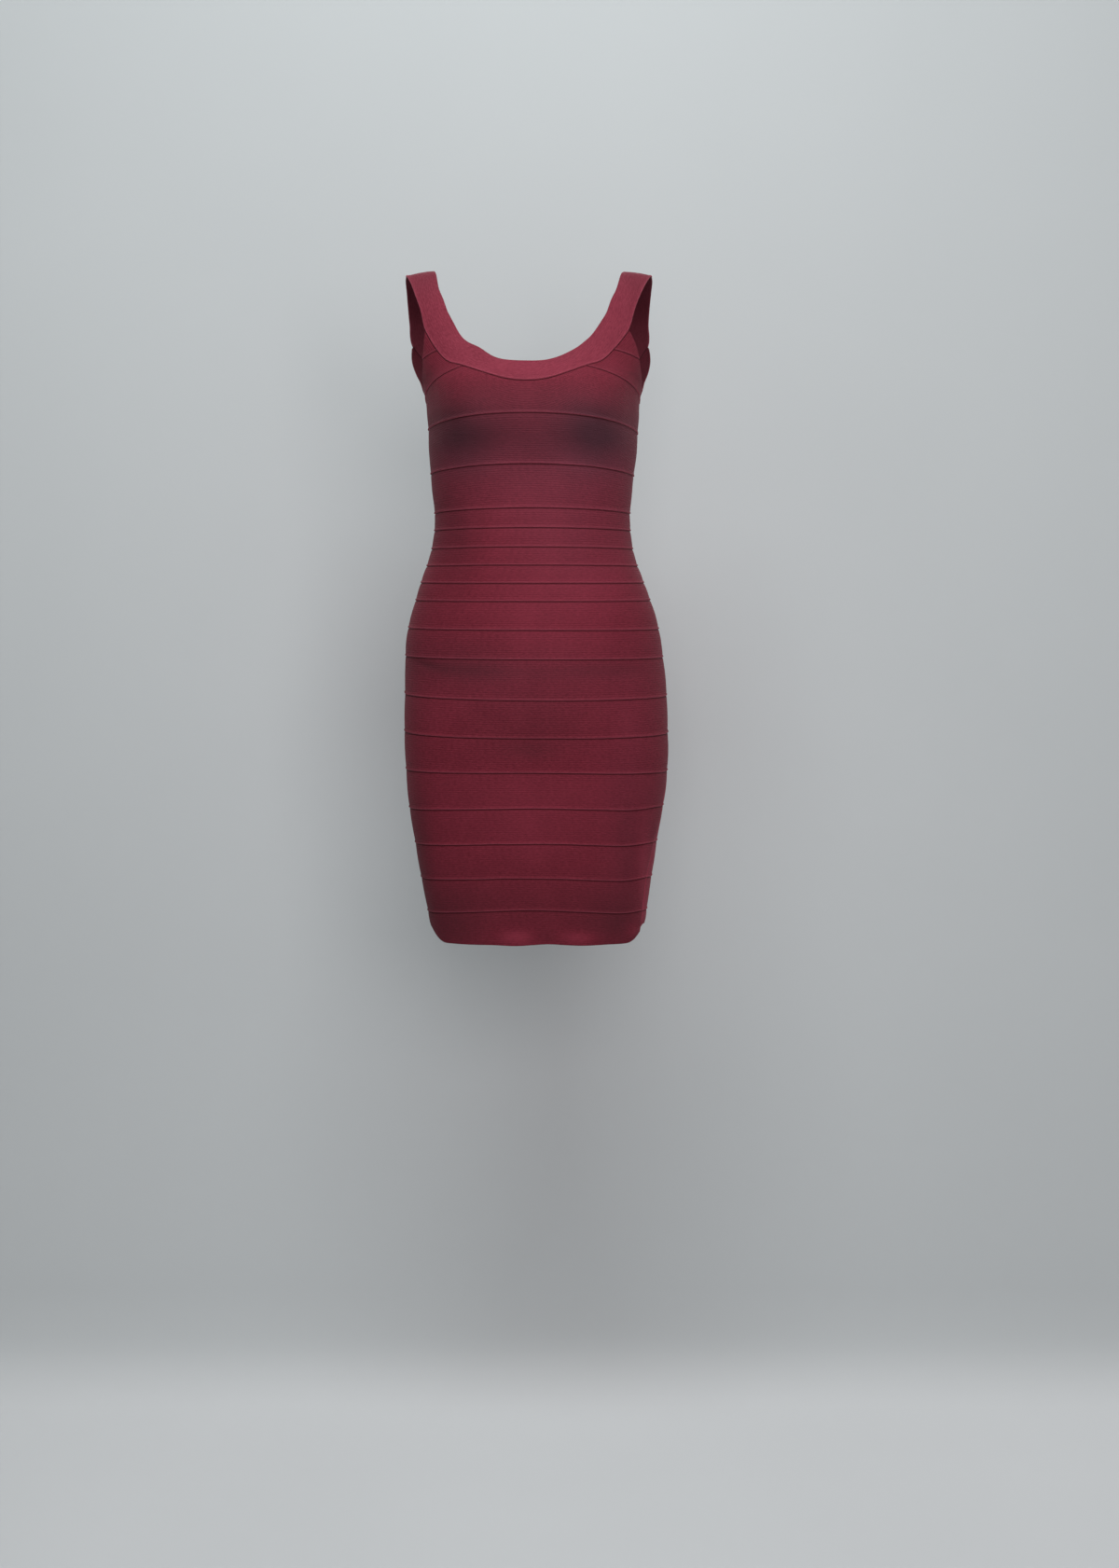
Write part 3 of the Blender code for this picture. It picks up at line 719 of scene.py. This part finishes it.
meshes = {piece.name: piece_mesh(piece) for piece in cutting_list}
print("middle surfaces:", sum(len(mesh.polygons) for mesh in meshes.values()), "faces")

# %% [markdown]
# ## Node trees as plain arithmetic
# Both the cloth's shape and its finish come from node trees. Wiring nodes by hand in a script is
# long and hard to read, so a socket is wrapped in a small class: adding, multiplying or taking the
# root of a wrapped socket adds the Math node that does it. Every other kind of node comes from one
# method, which takes its type, what goes into its sockets, and its settings by name.

# %% Sockets that do arithmetic
def maths(operation, swap=False):
    """A method for wires that adds the Math node doing this operation."""

    def method(wire, *others):
        values = (*others, wire) if swap else (wire, *others)
        return wire.tree.node("ShaderNodeMath", dict(enumerate(values)), operation=operation)

    return method


class Wire:
    """An output socket. Arithmetic on it adds Math nodes to its tree."""

    def __init__(self, tree, socket):
        self.tree, self.socket = tree, socket

    __add__ = __radd__ = maths("ADD")
    __mul__ = __rmul__ = maths("MULTIPLY")
    __sub__, __rsub__ = maths("SUBTRACT"), maths("SUBTRACT", swap=True)
    __truediv__ = maths("DIVIDE")
    at_most, at_least = maths("MINIMUM"), maths("MAXIMUM")
    sine, size, part, root = maths("SINE"), maths("ABSOLUTE"), maths("FRACT"), maths("SQRT")

    def held(self):
        """Kept from 0 to 1."""
        return self.at_least(0).at_most(1)

    def eased(self):
        """0 to 1 with a soft start and end."""
        held = self.held()
        return held * held * (3 - 2 * held)

    def domed(self):
        """0 to 1 round a quarter circle, steep at its start."""
        short = 1 - self.at_most(1)
        return (1 - short * short).root()

    def out(self, name):
        """Another output of the same node."""
        return Wire(self.tree, find_socket(self.socket.node.outputs, name))


def find_socket(sockets, key):
    if isinstance(key, int):
        return sockets[key]
    return next(socket for socket in sockets if socket.name == key and socket.enabled)


class Tree:
    """A node tree, for shaders or for geometry."""

    def __init__(self, tree):
        self.tree = tree

    def node(self, kind, inputs=None, output=0, **settings):
        """Adds a node, with its settings and the values or wires of its sockets."""
        node = self.tree.nodes.new(kind)
        for name, value in settings.items():
            setattr(node, name, value)
        for key, values in (inputs or {}).items():
            socket = find_socket(node.inputs, key)
            for value in values if isinstance(values, list) else [values]:
                if isinstance(value, Wire):
                    self.tree.links.new(value.socket, socket)
                else:
                    socket.default_value = value
        return Wire(self, find_socket(node.outputs, output)) if node.outputs else node

    def vector(self, operation, inputs, output=0):
        return self.node("ShaderNodeVectorMath", inputs, output, operation=operation)

    def scaled(self, vector, factor):
        return self.vector("SCALE", {0: vector, "Scale": factor})


print("tree tools ready")

# %% [markdown]
# ## From middle surface to knitted panel
# A Geometry Nodes tree turns a piece's middle surface into real cloth: an outer and an inner face,
# half the wall's thickness away, that close together round every edge. The distances kept on the
# mesh drive three soft profiles, the raised welt, the tucked groove and the swell between them.
# One tree with named inputs serves all pieces, so a size is changed in one place.

# %% Build the panel tree
PANEL_SIZES = {
    "Wall": 0.0018,
    "Edge Radius": 0.0009,
    "Swell": 0.0005,
    "Welt Height": 0.0009,
    "Welt Width": 0.0024,
    "Groove Depth": 0.0005,
    "Groove Width": 0.0020,
    "Tuck": TUCK,
    "Lift": 0.0,
}
NECKBAND_SIZES = PANEL_SIZES | {"Swell": 0.0009, "Lift": 0.0007, "Welt Height": 0.0005}
SAME_PLACE = 2e-6  # points closer than this are joined, which closes the rim


def new_geometry_tree(name, sizes):
    """An empty Geometry Nodes tree whose inputs are sizes and a finish, and a wire for each."""
    group = bpy.data.node_groups.new(name, "GeometryNodeTree")
    kinds = {"Geometry": "NodeSocketGeometry"} | dict.fromkeys(sizes, "NodeSocketFloat")
    kinds |= {"Finish": "NodeSocketMaterial"}
    for label, kind in kinds.items():
        group.interface.new_socket(label, in_out="INPUT", socket_type=kind)
    group.interface.new_socket("Geometry", in_out="OUTPUT", socket_type=kinds["Geometry"])
    tree = Tree(group)
    start = tree.node("NodeGroupInput")
    return tree, {label: start.out(label) for label in kinds}


def end_geometry_tree(tree, geometry, finish):
    """The last steps of every tree: smooth, real, with its finish."""
    geometry = tree.node("GeometryNodeSetShadeSmooth", {"Geometry": geometry})
    geometry = tree.node("GeometryNodeRealizeInstances", {"Geometry": geometry})
    geometry = tree.node("GeometryNodeSetMaterial", {"Geometry": geometry, "Material": finish})
    tree.node("NodeGroupOutput", {"Geometry": geometry})
    return tree.tree


def moved(tree, geometry, offset):
    return tree.node("GeometryNodeSetPosition", {"Geometry": geometry, "Offset": offset})


def attribute(tree, name, kind="FLOAT"):
    return tree.node("GeometryNodeInputNamedAttribute", {"Name": name}, data_type=kind)


def build_panel_tree():
    tree, given = new_geometry_tree("Knitted Panel", PANEL_SIZES)
    outward = attribute(tree, "outward", "FLOAT_VECTOR")
    half_wall = given["Wall"] * 0.5 * (attribute(tree, "to_rim") / given["Edge Radius"]).domed()
    over_welt = (attribute(tree, "to_welt") / given["Welt Width"]).at_most(1)
    closed = (attribute(tree, "to_end") / given["Edge Radius"]).domed()
    welt = given["Welt Height"] * 4 * over_welt * (1 - over_welt) * closed
    past_tuck = (attribute(tree, "to_tuck") - given["Tuck"]) / given["Groove Width"]
    groove = given["Groove Depth"] * (1 - past_tuck).eased()
    lifted = given["Swell"] * attribute(tree, "swell") + given["Lift"] - groove
    outer = moved(tree, given["Geometry"], tree.scaled(outward, lifted + half_wall + welt))
    turned = tree.node("GeometryNodeFlipFaces", {"Mesh": given["Geometry"]})
    inner = moved(tree, turned, tree.scaled(outward, lifted - half_wall))
    marked = {"Geometry": inner, "Name": "inside", "Value": 1.0}
    inner = tree.node("GeometryNodeStoreNamedAttribute", marked)
    shell = tree.node("GeometryNodeJoinGeometry", {"Geometry": [inner, outer]})
    joined = {"Geometry": shell, "Distance": SAME_PLACE}
    shell = tree.node("GeometryNodeMergeByDistance", joined)
    return end_geometry_tree(tree, shell, given["Finish"])


def run_tree(group, mesh, finish, sizes):
    """Runs a Geometry Nodes tree on a mesh, with its inputs by name, and returns a plain mesh."""
    values = sizes | {"Finish": finish}
    holder = linked(mesh.name, mesh)
    modifier = holder.modifiers.new("nodes", "NODES")
    modifier.node_group = group
    for item in group.interface.items_tree:
        if item.name in values:
            modifier[item.identifier] = values[item.name]
    made = holder.evaluated_get(bpy.context.evaluated_depsgraph_get())
    result = bpy.data.meshes.new_from_object(made)
    bpy.data.objects.remove(holder)
    return result


panel_tree = build_panel_tree()
print("panel tree:", len(panel_tree.nodes), "nodes")

# %% [markdown]
# ## The knit
# The cloth is a dense rayon knit. Close to, it shows columns of small V-shaped loops. From a step away
# only its courses show, as faint level lines, with a slight unevenness from loop to loop. All of it
# follows the piece's own UV map, which is in metres along and across the band, so the loops run along
# the bands and keep their real size. Using the distance attributes, the raised welts and the seams are
# painted lighter, a painted highlight, and the grooves are painted darker, painted shade. The neckband
# is the same yarn knitted plain.

# %% Make the knit finishes
WALE = 0.0013  # width of a column of loops
COURSE = 0.0012  # height of a row of loops
RIB_PITCH = 0.0024  # between the courses that show from a step away
DEEP_RED = (0.124, 0.0098, 0.0212)
FULL_RED = (0.194, 0.0188, 0.0360)
# painted highlight on the welts and seams
RIDGE_HIGHLIGHT_RED = (0.420, 0.0800, 0.1200)
# painted shade in the grooves, and in the thread's twist
GROOVE_SHADE_RED = (0.045, 0.0030, 0.0070)
OPEN_AND_SHADED_RED = (0.055, 0.0095, 0.0150)  # the knit pulled wide open, and painted shade
# slack knit, and painted light
SLACK_AND_LIT_RED = (0.330, 0.0400, 0.0720)
# the grey of the painted sheen
PAINTED_SHEEN_GREY = (0.200, 0.0850, 0.1250)
NECK_DEEP_RED = (0.190, 0.0215, 0.0400)
NECK_FULL_RED = (0.270, 0.0370, 0.0630)
EDGE_HIGHLIGHTS_AND_SHADE = (  # edge, how far from it the painted tone reaches, how strong it is, its colour: painted highlight on welts and seams, painted shade in the tucked groove
    ("to_welt", 0.0021, 0.62, RIDGE_HIGHLIGHT_RED),
    ("to_tuck", 0.0022, 0.85, GROOVE_SHADE_RED),
    ("to_seam", 0.0030, 0.30, RIDGE_HIGHLIGHT_RED),
)
INSIDE_DULL_AND_SHADE = 0.60  # how much darker the cloth's inner face is painted: partly the knit's duller reverse, partly painted shade
SLUB_STRETCH, GRAIN_SCALE, CLOUD_SCALE = (230, 620, 1), 900, 28  # turns per metre
SLUB_TONE, GRAIN_TONE, CLOUD_TONE, COURSE_TONE, LOOP_TONE = 1.9, 1.3, 0.5, 0.14, 0.08
SLUB_RELIEF, GRAIN_RELIEF, LOOP_RELIEF, COLUMN_RELIEF, COURSE_RELIEF = 0.7, 0.5, 0.30, 0.35, 0.55
BUMP_STRENGTH, BUMP_HEIGHT = 0.85, 0.00022
ROUGHNESS, ROUGHNESS_SPREAD = 0.80, 0.2
KNIT_SHEEN = {
    "Specular IOR Level": 0.18,
    "Sheen Weight": 0.05,
    "Sheen Roughness": 0.35,
    "Sheen Tint": (1.0, 0.42, 0.50, 1),
}


def new_material(name):
    material = bpy.data.materials.new(name)
    material.use_nodes = True
    material.node_tree.nodes.clear()
    return material, Tree(material.node_tree)


def mixed(tree, share, first, second):
    first, second = (c if isinstance(c, Wire) else (*c, 1) for c in (first, second))
    inputs = {"Factor": share, "A": first, "B": second}
    return tree.node("ShaderNodeMix", inputs, "Result", data_type="RGBA", clamp_factor=True)


def noise(tree, at, scale, detail, dimensions="2D"):
    inputs = {"Vector": at, "Scale": scale, "Detail": detail}
    return tree.node("ShaderNodeTexNoise", inputs, noise_dimensions=dimensions)


def mark(tree, name):
    """One of the values kept on the mesh."""
    return tree.node("ShaderNodeAttribute", output="Fac", attribute_name=name)


def knit(name, deep, full, rib):
    """A matt knit. rib is how strongly its courses show."""
    material, tree = new_material(name)
    cut = tree.node("ShaderNodeUVMap", uv_map="cut")
    along = tree.node("ShaderNodeSeparateXYZ", {"Vector": cut}, "X")
    across = along.out("Y")

    in_wale = ((along / WALE).part() - 0.5).size() * 2
    loop = ((across / COURSE + in_wale * 0.5) * 2 * math.pi).sine()
    column = 1 - in_wale * in_wale
    course = (across * (2 * math.pi / RIB_PITCH)).sine()
    slub = noise(tree, tree.vector("MULTIPLY", {0: cut, 1: SLUB_STRETCH}), scale=1, detail=2)
    grain = noise(tree, cut, GRAIN_SCALE, detail=3)
    cloud = noise(tree, cut, CLOUD_SCALE, detail=2)

    tone = 0.5 + (slub - 0.5) * SLUB_TONE + (grain - 0.5) * GRAIN_TONE + (cloud - 0.5) * CLOUD_TONE
    tone = tone + course * (COURSE_TONE * rib) + loop * LOOP_TONE
    colour = mixed(tree, tone.held(), deep, full)
    # darker where the knit is pulled and as painted shade, lighter where it is slack and as painted
    # light
    pull_and_painted_light = mark(tree, "pull_and_painted_light")
    colour = mixed(tree, pull_and_painted_light, colour, OPEN_AND_SHADED_RED)
    colour = mixed(tree, 0 - pull_and_painted_light, colour, SLACK_AND_LIT_RED)
    # painted sheen: a greyish haze, strongest below the bust
    colour = mixed(tree, mark(tree, "bloom"), colour, PAINTED_SHEEN_GREY)
    # painted highlight along welts and seams, painted shade in the groove under each welt
    for edge, reach, strength, painted_edge_colour in EDGE_HIGHLIGHTS_AND_SHADE:
        away = mark(tree, edge) - (TUCK if edge == "to_tuck" else 0)
        colour = mixed(tree, (1 - (away / reach).eased()) * strength, colour, painted_edge_colour)
    # the inner face, darker: partly the knit's duller reverse, partly painted shade
    colour = mixed(tree, mark(tree, "inside") * INSIDE_DULL_AND_SHADE, colour, OPEN_AND_SHADED_RED)

    height = loop * LOOP_RELIEF + column * COLUMN_RELIEF + course * (COURSE_RELIEF * rib)
    height = height + slub * SLUB_RELIEF + grain * GRAIN_RELIEF
    relief = {"Strength": BUMP_STRENGTH, "Distance": BUMP_HEIGHT, "Height": height}
    shape = {
        "Base Color": colour,
        "Roughness": ROUGHNESS + (grain - 0.5) * ROUGHNESS_SPREAD,
        "Normal": tree.node("ShaderNodeBump", relief),
    }
    shader = tree.node("ShaderNodeBsdfPrincipled", KNIT_SHEEN | shape)
    tree.node("ShaderNodeOutputMaterial", {"Surface": shader})
    return material


body_knit = knit("body_knit", DEEP_RED, FULL_RED, rib=1.0)
neckband_knit = knit("neckband_knit", NECK_DEEP_RED, NECK_FULL_RED, rib=0.35)
print("finishes:", body_knit.name, neckband_knit.name)

# %% [markdown]
# ## Making up the pieces
# Now each piece is run through the panel tree and put in the place of its solid. This knit is cut
# small and stretched about an eighth to fit.


def link_piece(name, mesh, nodes=()):
    """A finished mesh as a piece of the dress."""
    thing = linked(name, mesh)
    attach(thing, "root")
    if nodes:
        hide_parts(*nodes)
    return thing


def make_cloth(piece):
    is_neckband = piece.name.endswith("neckband")
    sizes = NECKBAND_SIZES if is_neckband else PANEL_SIZES
    finish, slot = (neckband_knit, "neckband_knit") if is_neckband else (body_knit, "body_knit")
    mesh = run_tree(panel_tree, meshes[piece.name], finish, sizes)
    thing = link_piece(piece.name + "_cloth", mesh, [piece.name])
    return thing


cloth = [make_cloth(piece) for piece in cutting_list]
print("cloth:", sum(len(thing.data.polygons) * 2 for thing in cloth), "triangles")

# %% [markdown]
# ## Linking
# The bands are joined on a linking machine, which works a line of small chain stitches through the
# last loops of both edges. A second Geometry Nodes tree lays them out just under each welt's edge:
# it turns a seam line into a curve, sets points along it at the stitch pitch, and puts one small
# loop of thread on each, turned to the seam's direction and to the cloth.

# %% Build the linking tree
STITCH_SIZES = {"Pitch": 0.0021, "Length": 0.0019, "Thickness": 0.0007, "Depth": 0.0001}


def build_stitch_tree():
    tree, given = new_geometry_tree("Linking Stitches", STITCH_SIZES)
    outward = attribute(tree, "outward", "FLOAT_VECTOR")
    lines = tree.node("GeometryNodeMeshToCurve", {"Mesh": given["Geometry"]})
    apart = {"Curve": lines, "Length": given["Pitch"]}
    lines = tree.node("GeometryNodeResampleCurve", apart, mode="LENGTH")
    axes = {"Primary Axis": tree.node("GeometryNodeInputTangent"), "Secondary Axis": outward}
    turned = tree.node("FunctionNodeAxesToRotation", axes, primary_axis="X", secondary_axis="Z")
    loop = tree.node("GeometryNodeMeshIcoSphere", {"Radius": 0.5, "Subdivisions": 1})
    girth = given["Thickness"]
    size = tree.node("ShaderNodeCombineXYZ", {"X": given["Length"], "Y": girth, "Z": girth})
    strung = {"Points": lines, "Instance": loop, "Rotation": turned, "Scale": size}
    loops = tree.node("GeometryNodeInstanceOnPoints", strung)
    loops = tree.node("GeometryNodeRealizeInstances", {"Geometry": loops})
    loops = moved(tree, loops, tree.scaled(outward, 0 - given["Depth"]))
    return end_geometry_tree(tree, loops, given["Finish"])


stitch_tree = build_stitch_tree()
print("linking tree:", len(stitch_tree.nodes), "nodes")

# %% Make the linking thread
THREAD_RED = (0.150, 0.0120, 0.0250)
TWIST = {"Scale": 900.0, "Distortion": 2.0}
TWIST_RELIEF = {"Strength": 0.5, "Distance": 0.0001}
THREAD_SHEEN = {"Roughness": 0.7, "Sheen Weight": 0.1}


def thread_finish():
    """A twisted thread: light and dark turns run round it, the dark turns painted shade in the hollows
    of the twist.
    """
    material, tree = new_material("linking_thread")
    waves = TWIST | {"Vector": tree.node("ShaderNodeTexCoord", output="Object")}
    twist = tree.node("ShaderNodeTexWave", waves, "Fac", bands_direction="DIAGONAL")
    bump = tree.node("ShaderNodeBump", TWIST_RELIEF | {"Height": twist})
    # the dark turns are painted shade in the hollows of the twist
    shape = {"Base Color": mixed(tree, twist, GROOVE_SHADE_RED, THREAD_RED), "Normal": bump}
    shader = tree.node("ShaderNodeBsdfPrincipled", THREAD_SHEEN | shape)
    tree.node("ShaderNodeOutputMaterial", {"Surface": shader})
    return material


def seam_mesh(name, pieces):
    """The welt edges of some pieces as lines, for the linking tree."""
    points, edges, outward = [], [], []
    for piece in pieces:
        places = lay_out(piece)
        lines = {"foot": places[-1], "last": places[:, -1]}
        if piece.name.endswith("neckband"):  # above the armholes its outer edge is free
            lines["foot"] = places[-1][places[-1, :, 1] < NECKBAND[piece.side][ARMHOLE_ROW, 3]]
        for edge, line in lines.items():
            if piece.finish[edge] != "welt":
                continue
            at, out = creased(piece.side, line)
            edges += [(len(points) + i, len(points) + i + 1) for i in range(len(at) - 1)]
            points += at.tolist()
            outward += out.tolist()
    mesh = bpy.data.meshes.new(name)
    mesh.from_pydata(points, edges, [])
    keep(mesh, "outward", outward, "FLOAT_VECTOR")
    return mesh


linking_thread = thread_finish()
linking = []
for word, side in (("front", FRONT), ("back", BACK)):
    lines = seam_mesh(word + "_linking", [piece for piece in cutting_list if piece.side == side])
    mesh = run_tree(stitch_tree, lines, linking_thread, STITCH_SIZES)
    linking.append(link_piece(word + "_linking", mesh))
print("linking:", sum(len(thing.data.polygons) for thing in linking), "triangles")

# %% [markdown]
# ## Floor, wall and light
# The dress is lit as in a plain studio: one large cool light high in front, a warmer one lower down, a
# wash on the wall, and three lights from behind, so that the back shows too. The pale wall and floor
# throw light back, and they are given a glow of their own, painted light that stands in for the light
# of a bright room. The far parts glow more, because no lamp reaches them. Wall and floor are one sheet
# with a rounded corner, and are only drawn from their inner side, so that they hide nothing from
# behind.

# %% Build the studio
WALL_Y, FLOOR_Z = 0.36, -1.46
STUDIO_HALF, WALL_TOP, FLOOR_FRONT = 2.6, 2.6, -3.0  # half its width, and where the sheet ends
CORNER_RADIUS, CORNER_STEPS = 0.12, 12
PAINT = (0.51, 0.535, 0.545), (0.57, 0.595, 0.605)
PAINT_ROUGHNESS, MOTTLE_SCALE = 0.9, 1.4
NEAR_GLOW, FAR_GLOW = 0.11, 0.62  # share of its colour that the paint gives off as painted glow, near and far
GLOW_FROM, GLOW_SPAN = 1.3, 1.5  # how far out the glow starts to grow, and over how much


def make_studio():
    turn = np.linspace(0, math.pi / 2, CORNER_STEPS + 1)
    y = WALL_Y - CORNER_RADIUS * (1 - np.sin(turn))
    z = FLOOR_Z + CORNER_RADIUS * (1 - np.cos(turn))
    profile = [(FLOOR_FRONT, FLOOR_Z), *zip(y, z), (WALL_Y, WALL_TOP)]
    points = [(x, *at) for at in profile for x in (-STUDIO_HALF, STUDIO_HALF)]
    faces = [(2 * i, 2 * i + 1, 2 * i + 3, 2 * i + 2) for i in range(len(profile) - 1)]
    mesh = bpy.data.meshes.new("studio")
    mesh.from_pydata(points, [], faces)
    mesh.shade_smooth()
    material, tree = new_material("studio_paint")
    place_on = tree.node("ShaderNodeTexCoord", output="Object")
    mottle = noise(tree, place_on, MOTTLE_SCALE, detail=3, dimensions="3D")
    paint = mixed(tree, mottle, *PAINT)
    level = tree.vector("MULTIPLY", {0: place_on, 1: (1, 1, 0)})
    far = ((tree.vector("LENGTH", {0: level}, "Value") - GLOW_FROM) / GLOW_SPAN).eased()
    finish = {
        "Base Color": paint,
        "Roughness": PAINT_ROUGHNESS,
        # painted glow: the paint gives off light of its own, more of it far out
        "Emission Color": tree.scaled(paint, NEAR_GLOW + (FAR_GLOW - NEAR_GLOW) * far),
        "Emission Strength": 1.0,
    }
    front = tree.node("ShaderNodeBsdfPrincipled", finish)
    clear = tree.node("ShaderNodeBsdfTransparent")
    behind = tree.node("ShaderNodeNewGeometry", output="Backfacing")
    shown = tree.node("ShaderNodeMixShader", {0: behind, 1: front, 2: clear})
    tree.node("ShaderNodeOutputMaterial", {"Surface": shown})
    mesh.materials.append(material)
    studio = linked("studio", mesh)
    studio.visible_shadow = False  # it doesn't stop the lights behind it
    return studio


studio = make_studio()
print("studio:", len(studio.data.polygons), "faces")

# %% Light the dress
LIGHT_TARGET = (0.0, 0.0, -0.35)
LIGHT_DISTANCE = 2.1
COOL, WARM = (0.95, 1.0, 1.0), (1.0, 0.92, 0.92)
LIGHTS = (  # name, degrees round to the wearer's left, degrees up, width, height, watts, colour
    ("overhead", -4, 54, 1.5, 0.7, 30, COOL),
    ("front", 10, 10, 1.2, 0.9, 16, WARM),
    ("wall_wash", 0, 84, 3.0, 0.5, 5, COOL),
    ("back", 180, 30, 1.6, 0.9, 24, WARM),
    ("back_left", 118, 10, 0.6, 1.2, 6, WARM),
    ("back_right", -132, 14, 0.6, 1.2, 2, WARM),
)
AIR_COLOUR = (0.93, 0.96, 1.0)
AIR_LIGHT, AIR_SEEN = 0.04, 0.55  # how strongly the air lights the dress, and how bright it looks


def hang_light(name, around, up, width, height, watts, colour):
    """A soft light that looks at the dress from a given side."""
    light = bpy.data.lights.new(name, "AREA")
    light.shape, light.size, light.size_y = "RECTANGLE", width, height
    light.energy, light.color = watts, colour
    lamp = linked(name, light)
    around, up = math.radians(around), math.radians(up)
    away = (math.sin(around) * math.cos(up), -math.cos(around) * math.cos(up), math.sin(up))
    lamp.location = [t + LIGHT_DISTANCE * a for t, a in zip(LIGHT_TARGET, away)]
    lamp.rotation_euler = (math.pi / 2 - up, 0, around)


for row in LIGHTS:
    hang_light(*row)

world = bpy.data.worlds.new("studio_air")
world.use_nodes = True
world.node_tree.nodes.clear()
air = Tree(world.node_tree)
seen = air.node("ShaderNodeLightPath", output="Is Camera Ray")
strength = AIR_LIGHT + (AIR_SEEN - AIR_LIGHT) * seen
glow = air.node("ShaderNodeBackground", {"Color": (*AIR_COLOUR, 1), "Strength": strength})
air.node("ShaderNodeOutputWorld", {"Surface": glow})
bpy.context.scene.world = world
bpy.context.scene.view_settings.view_transform = "Standard"
print("lights:", [row[0] for row in LIGHTS])
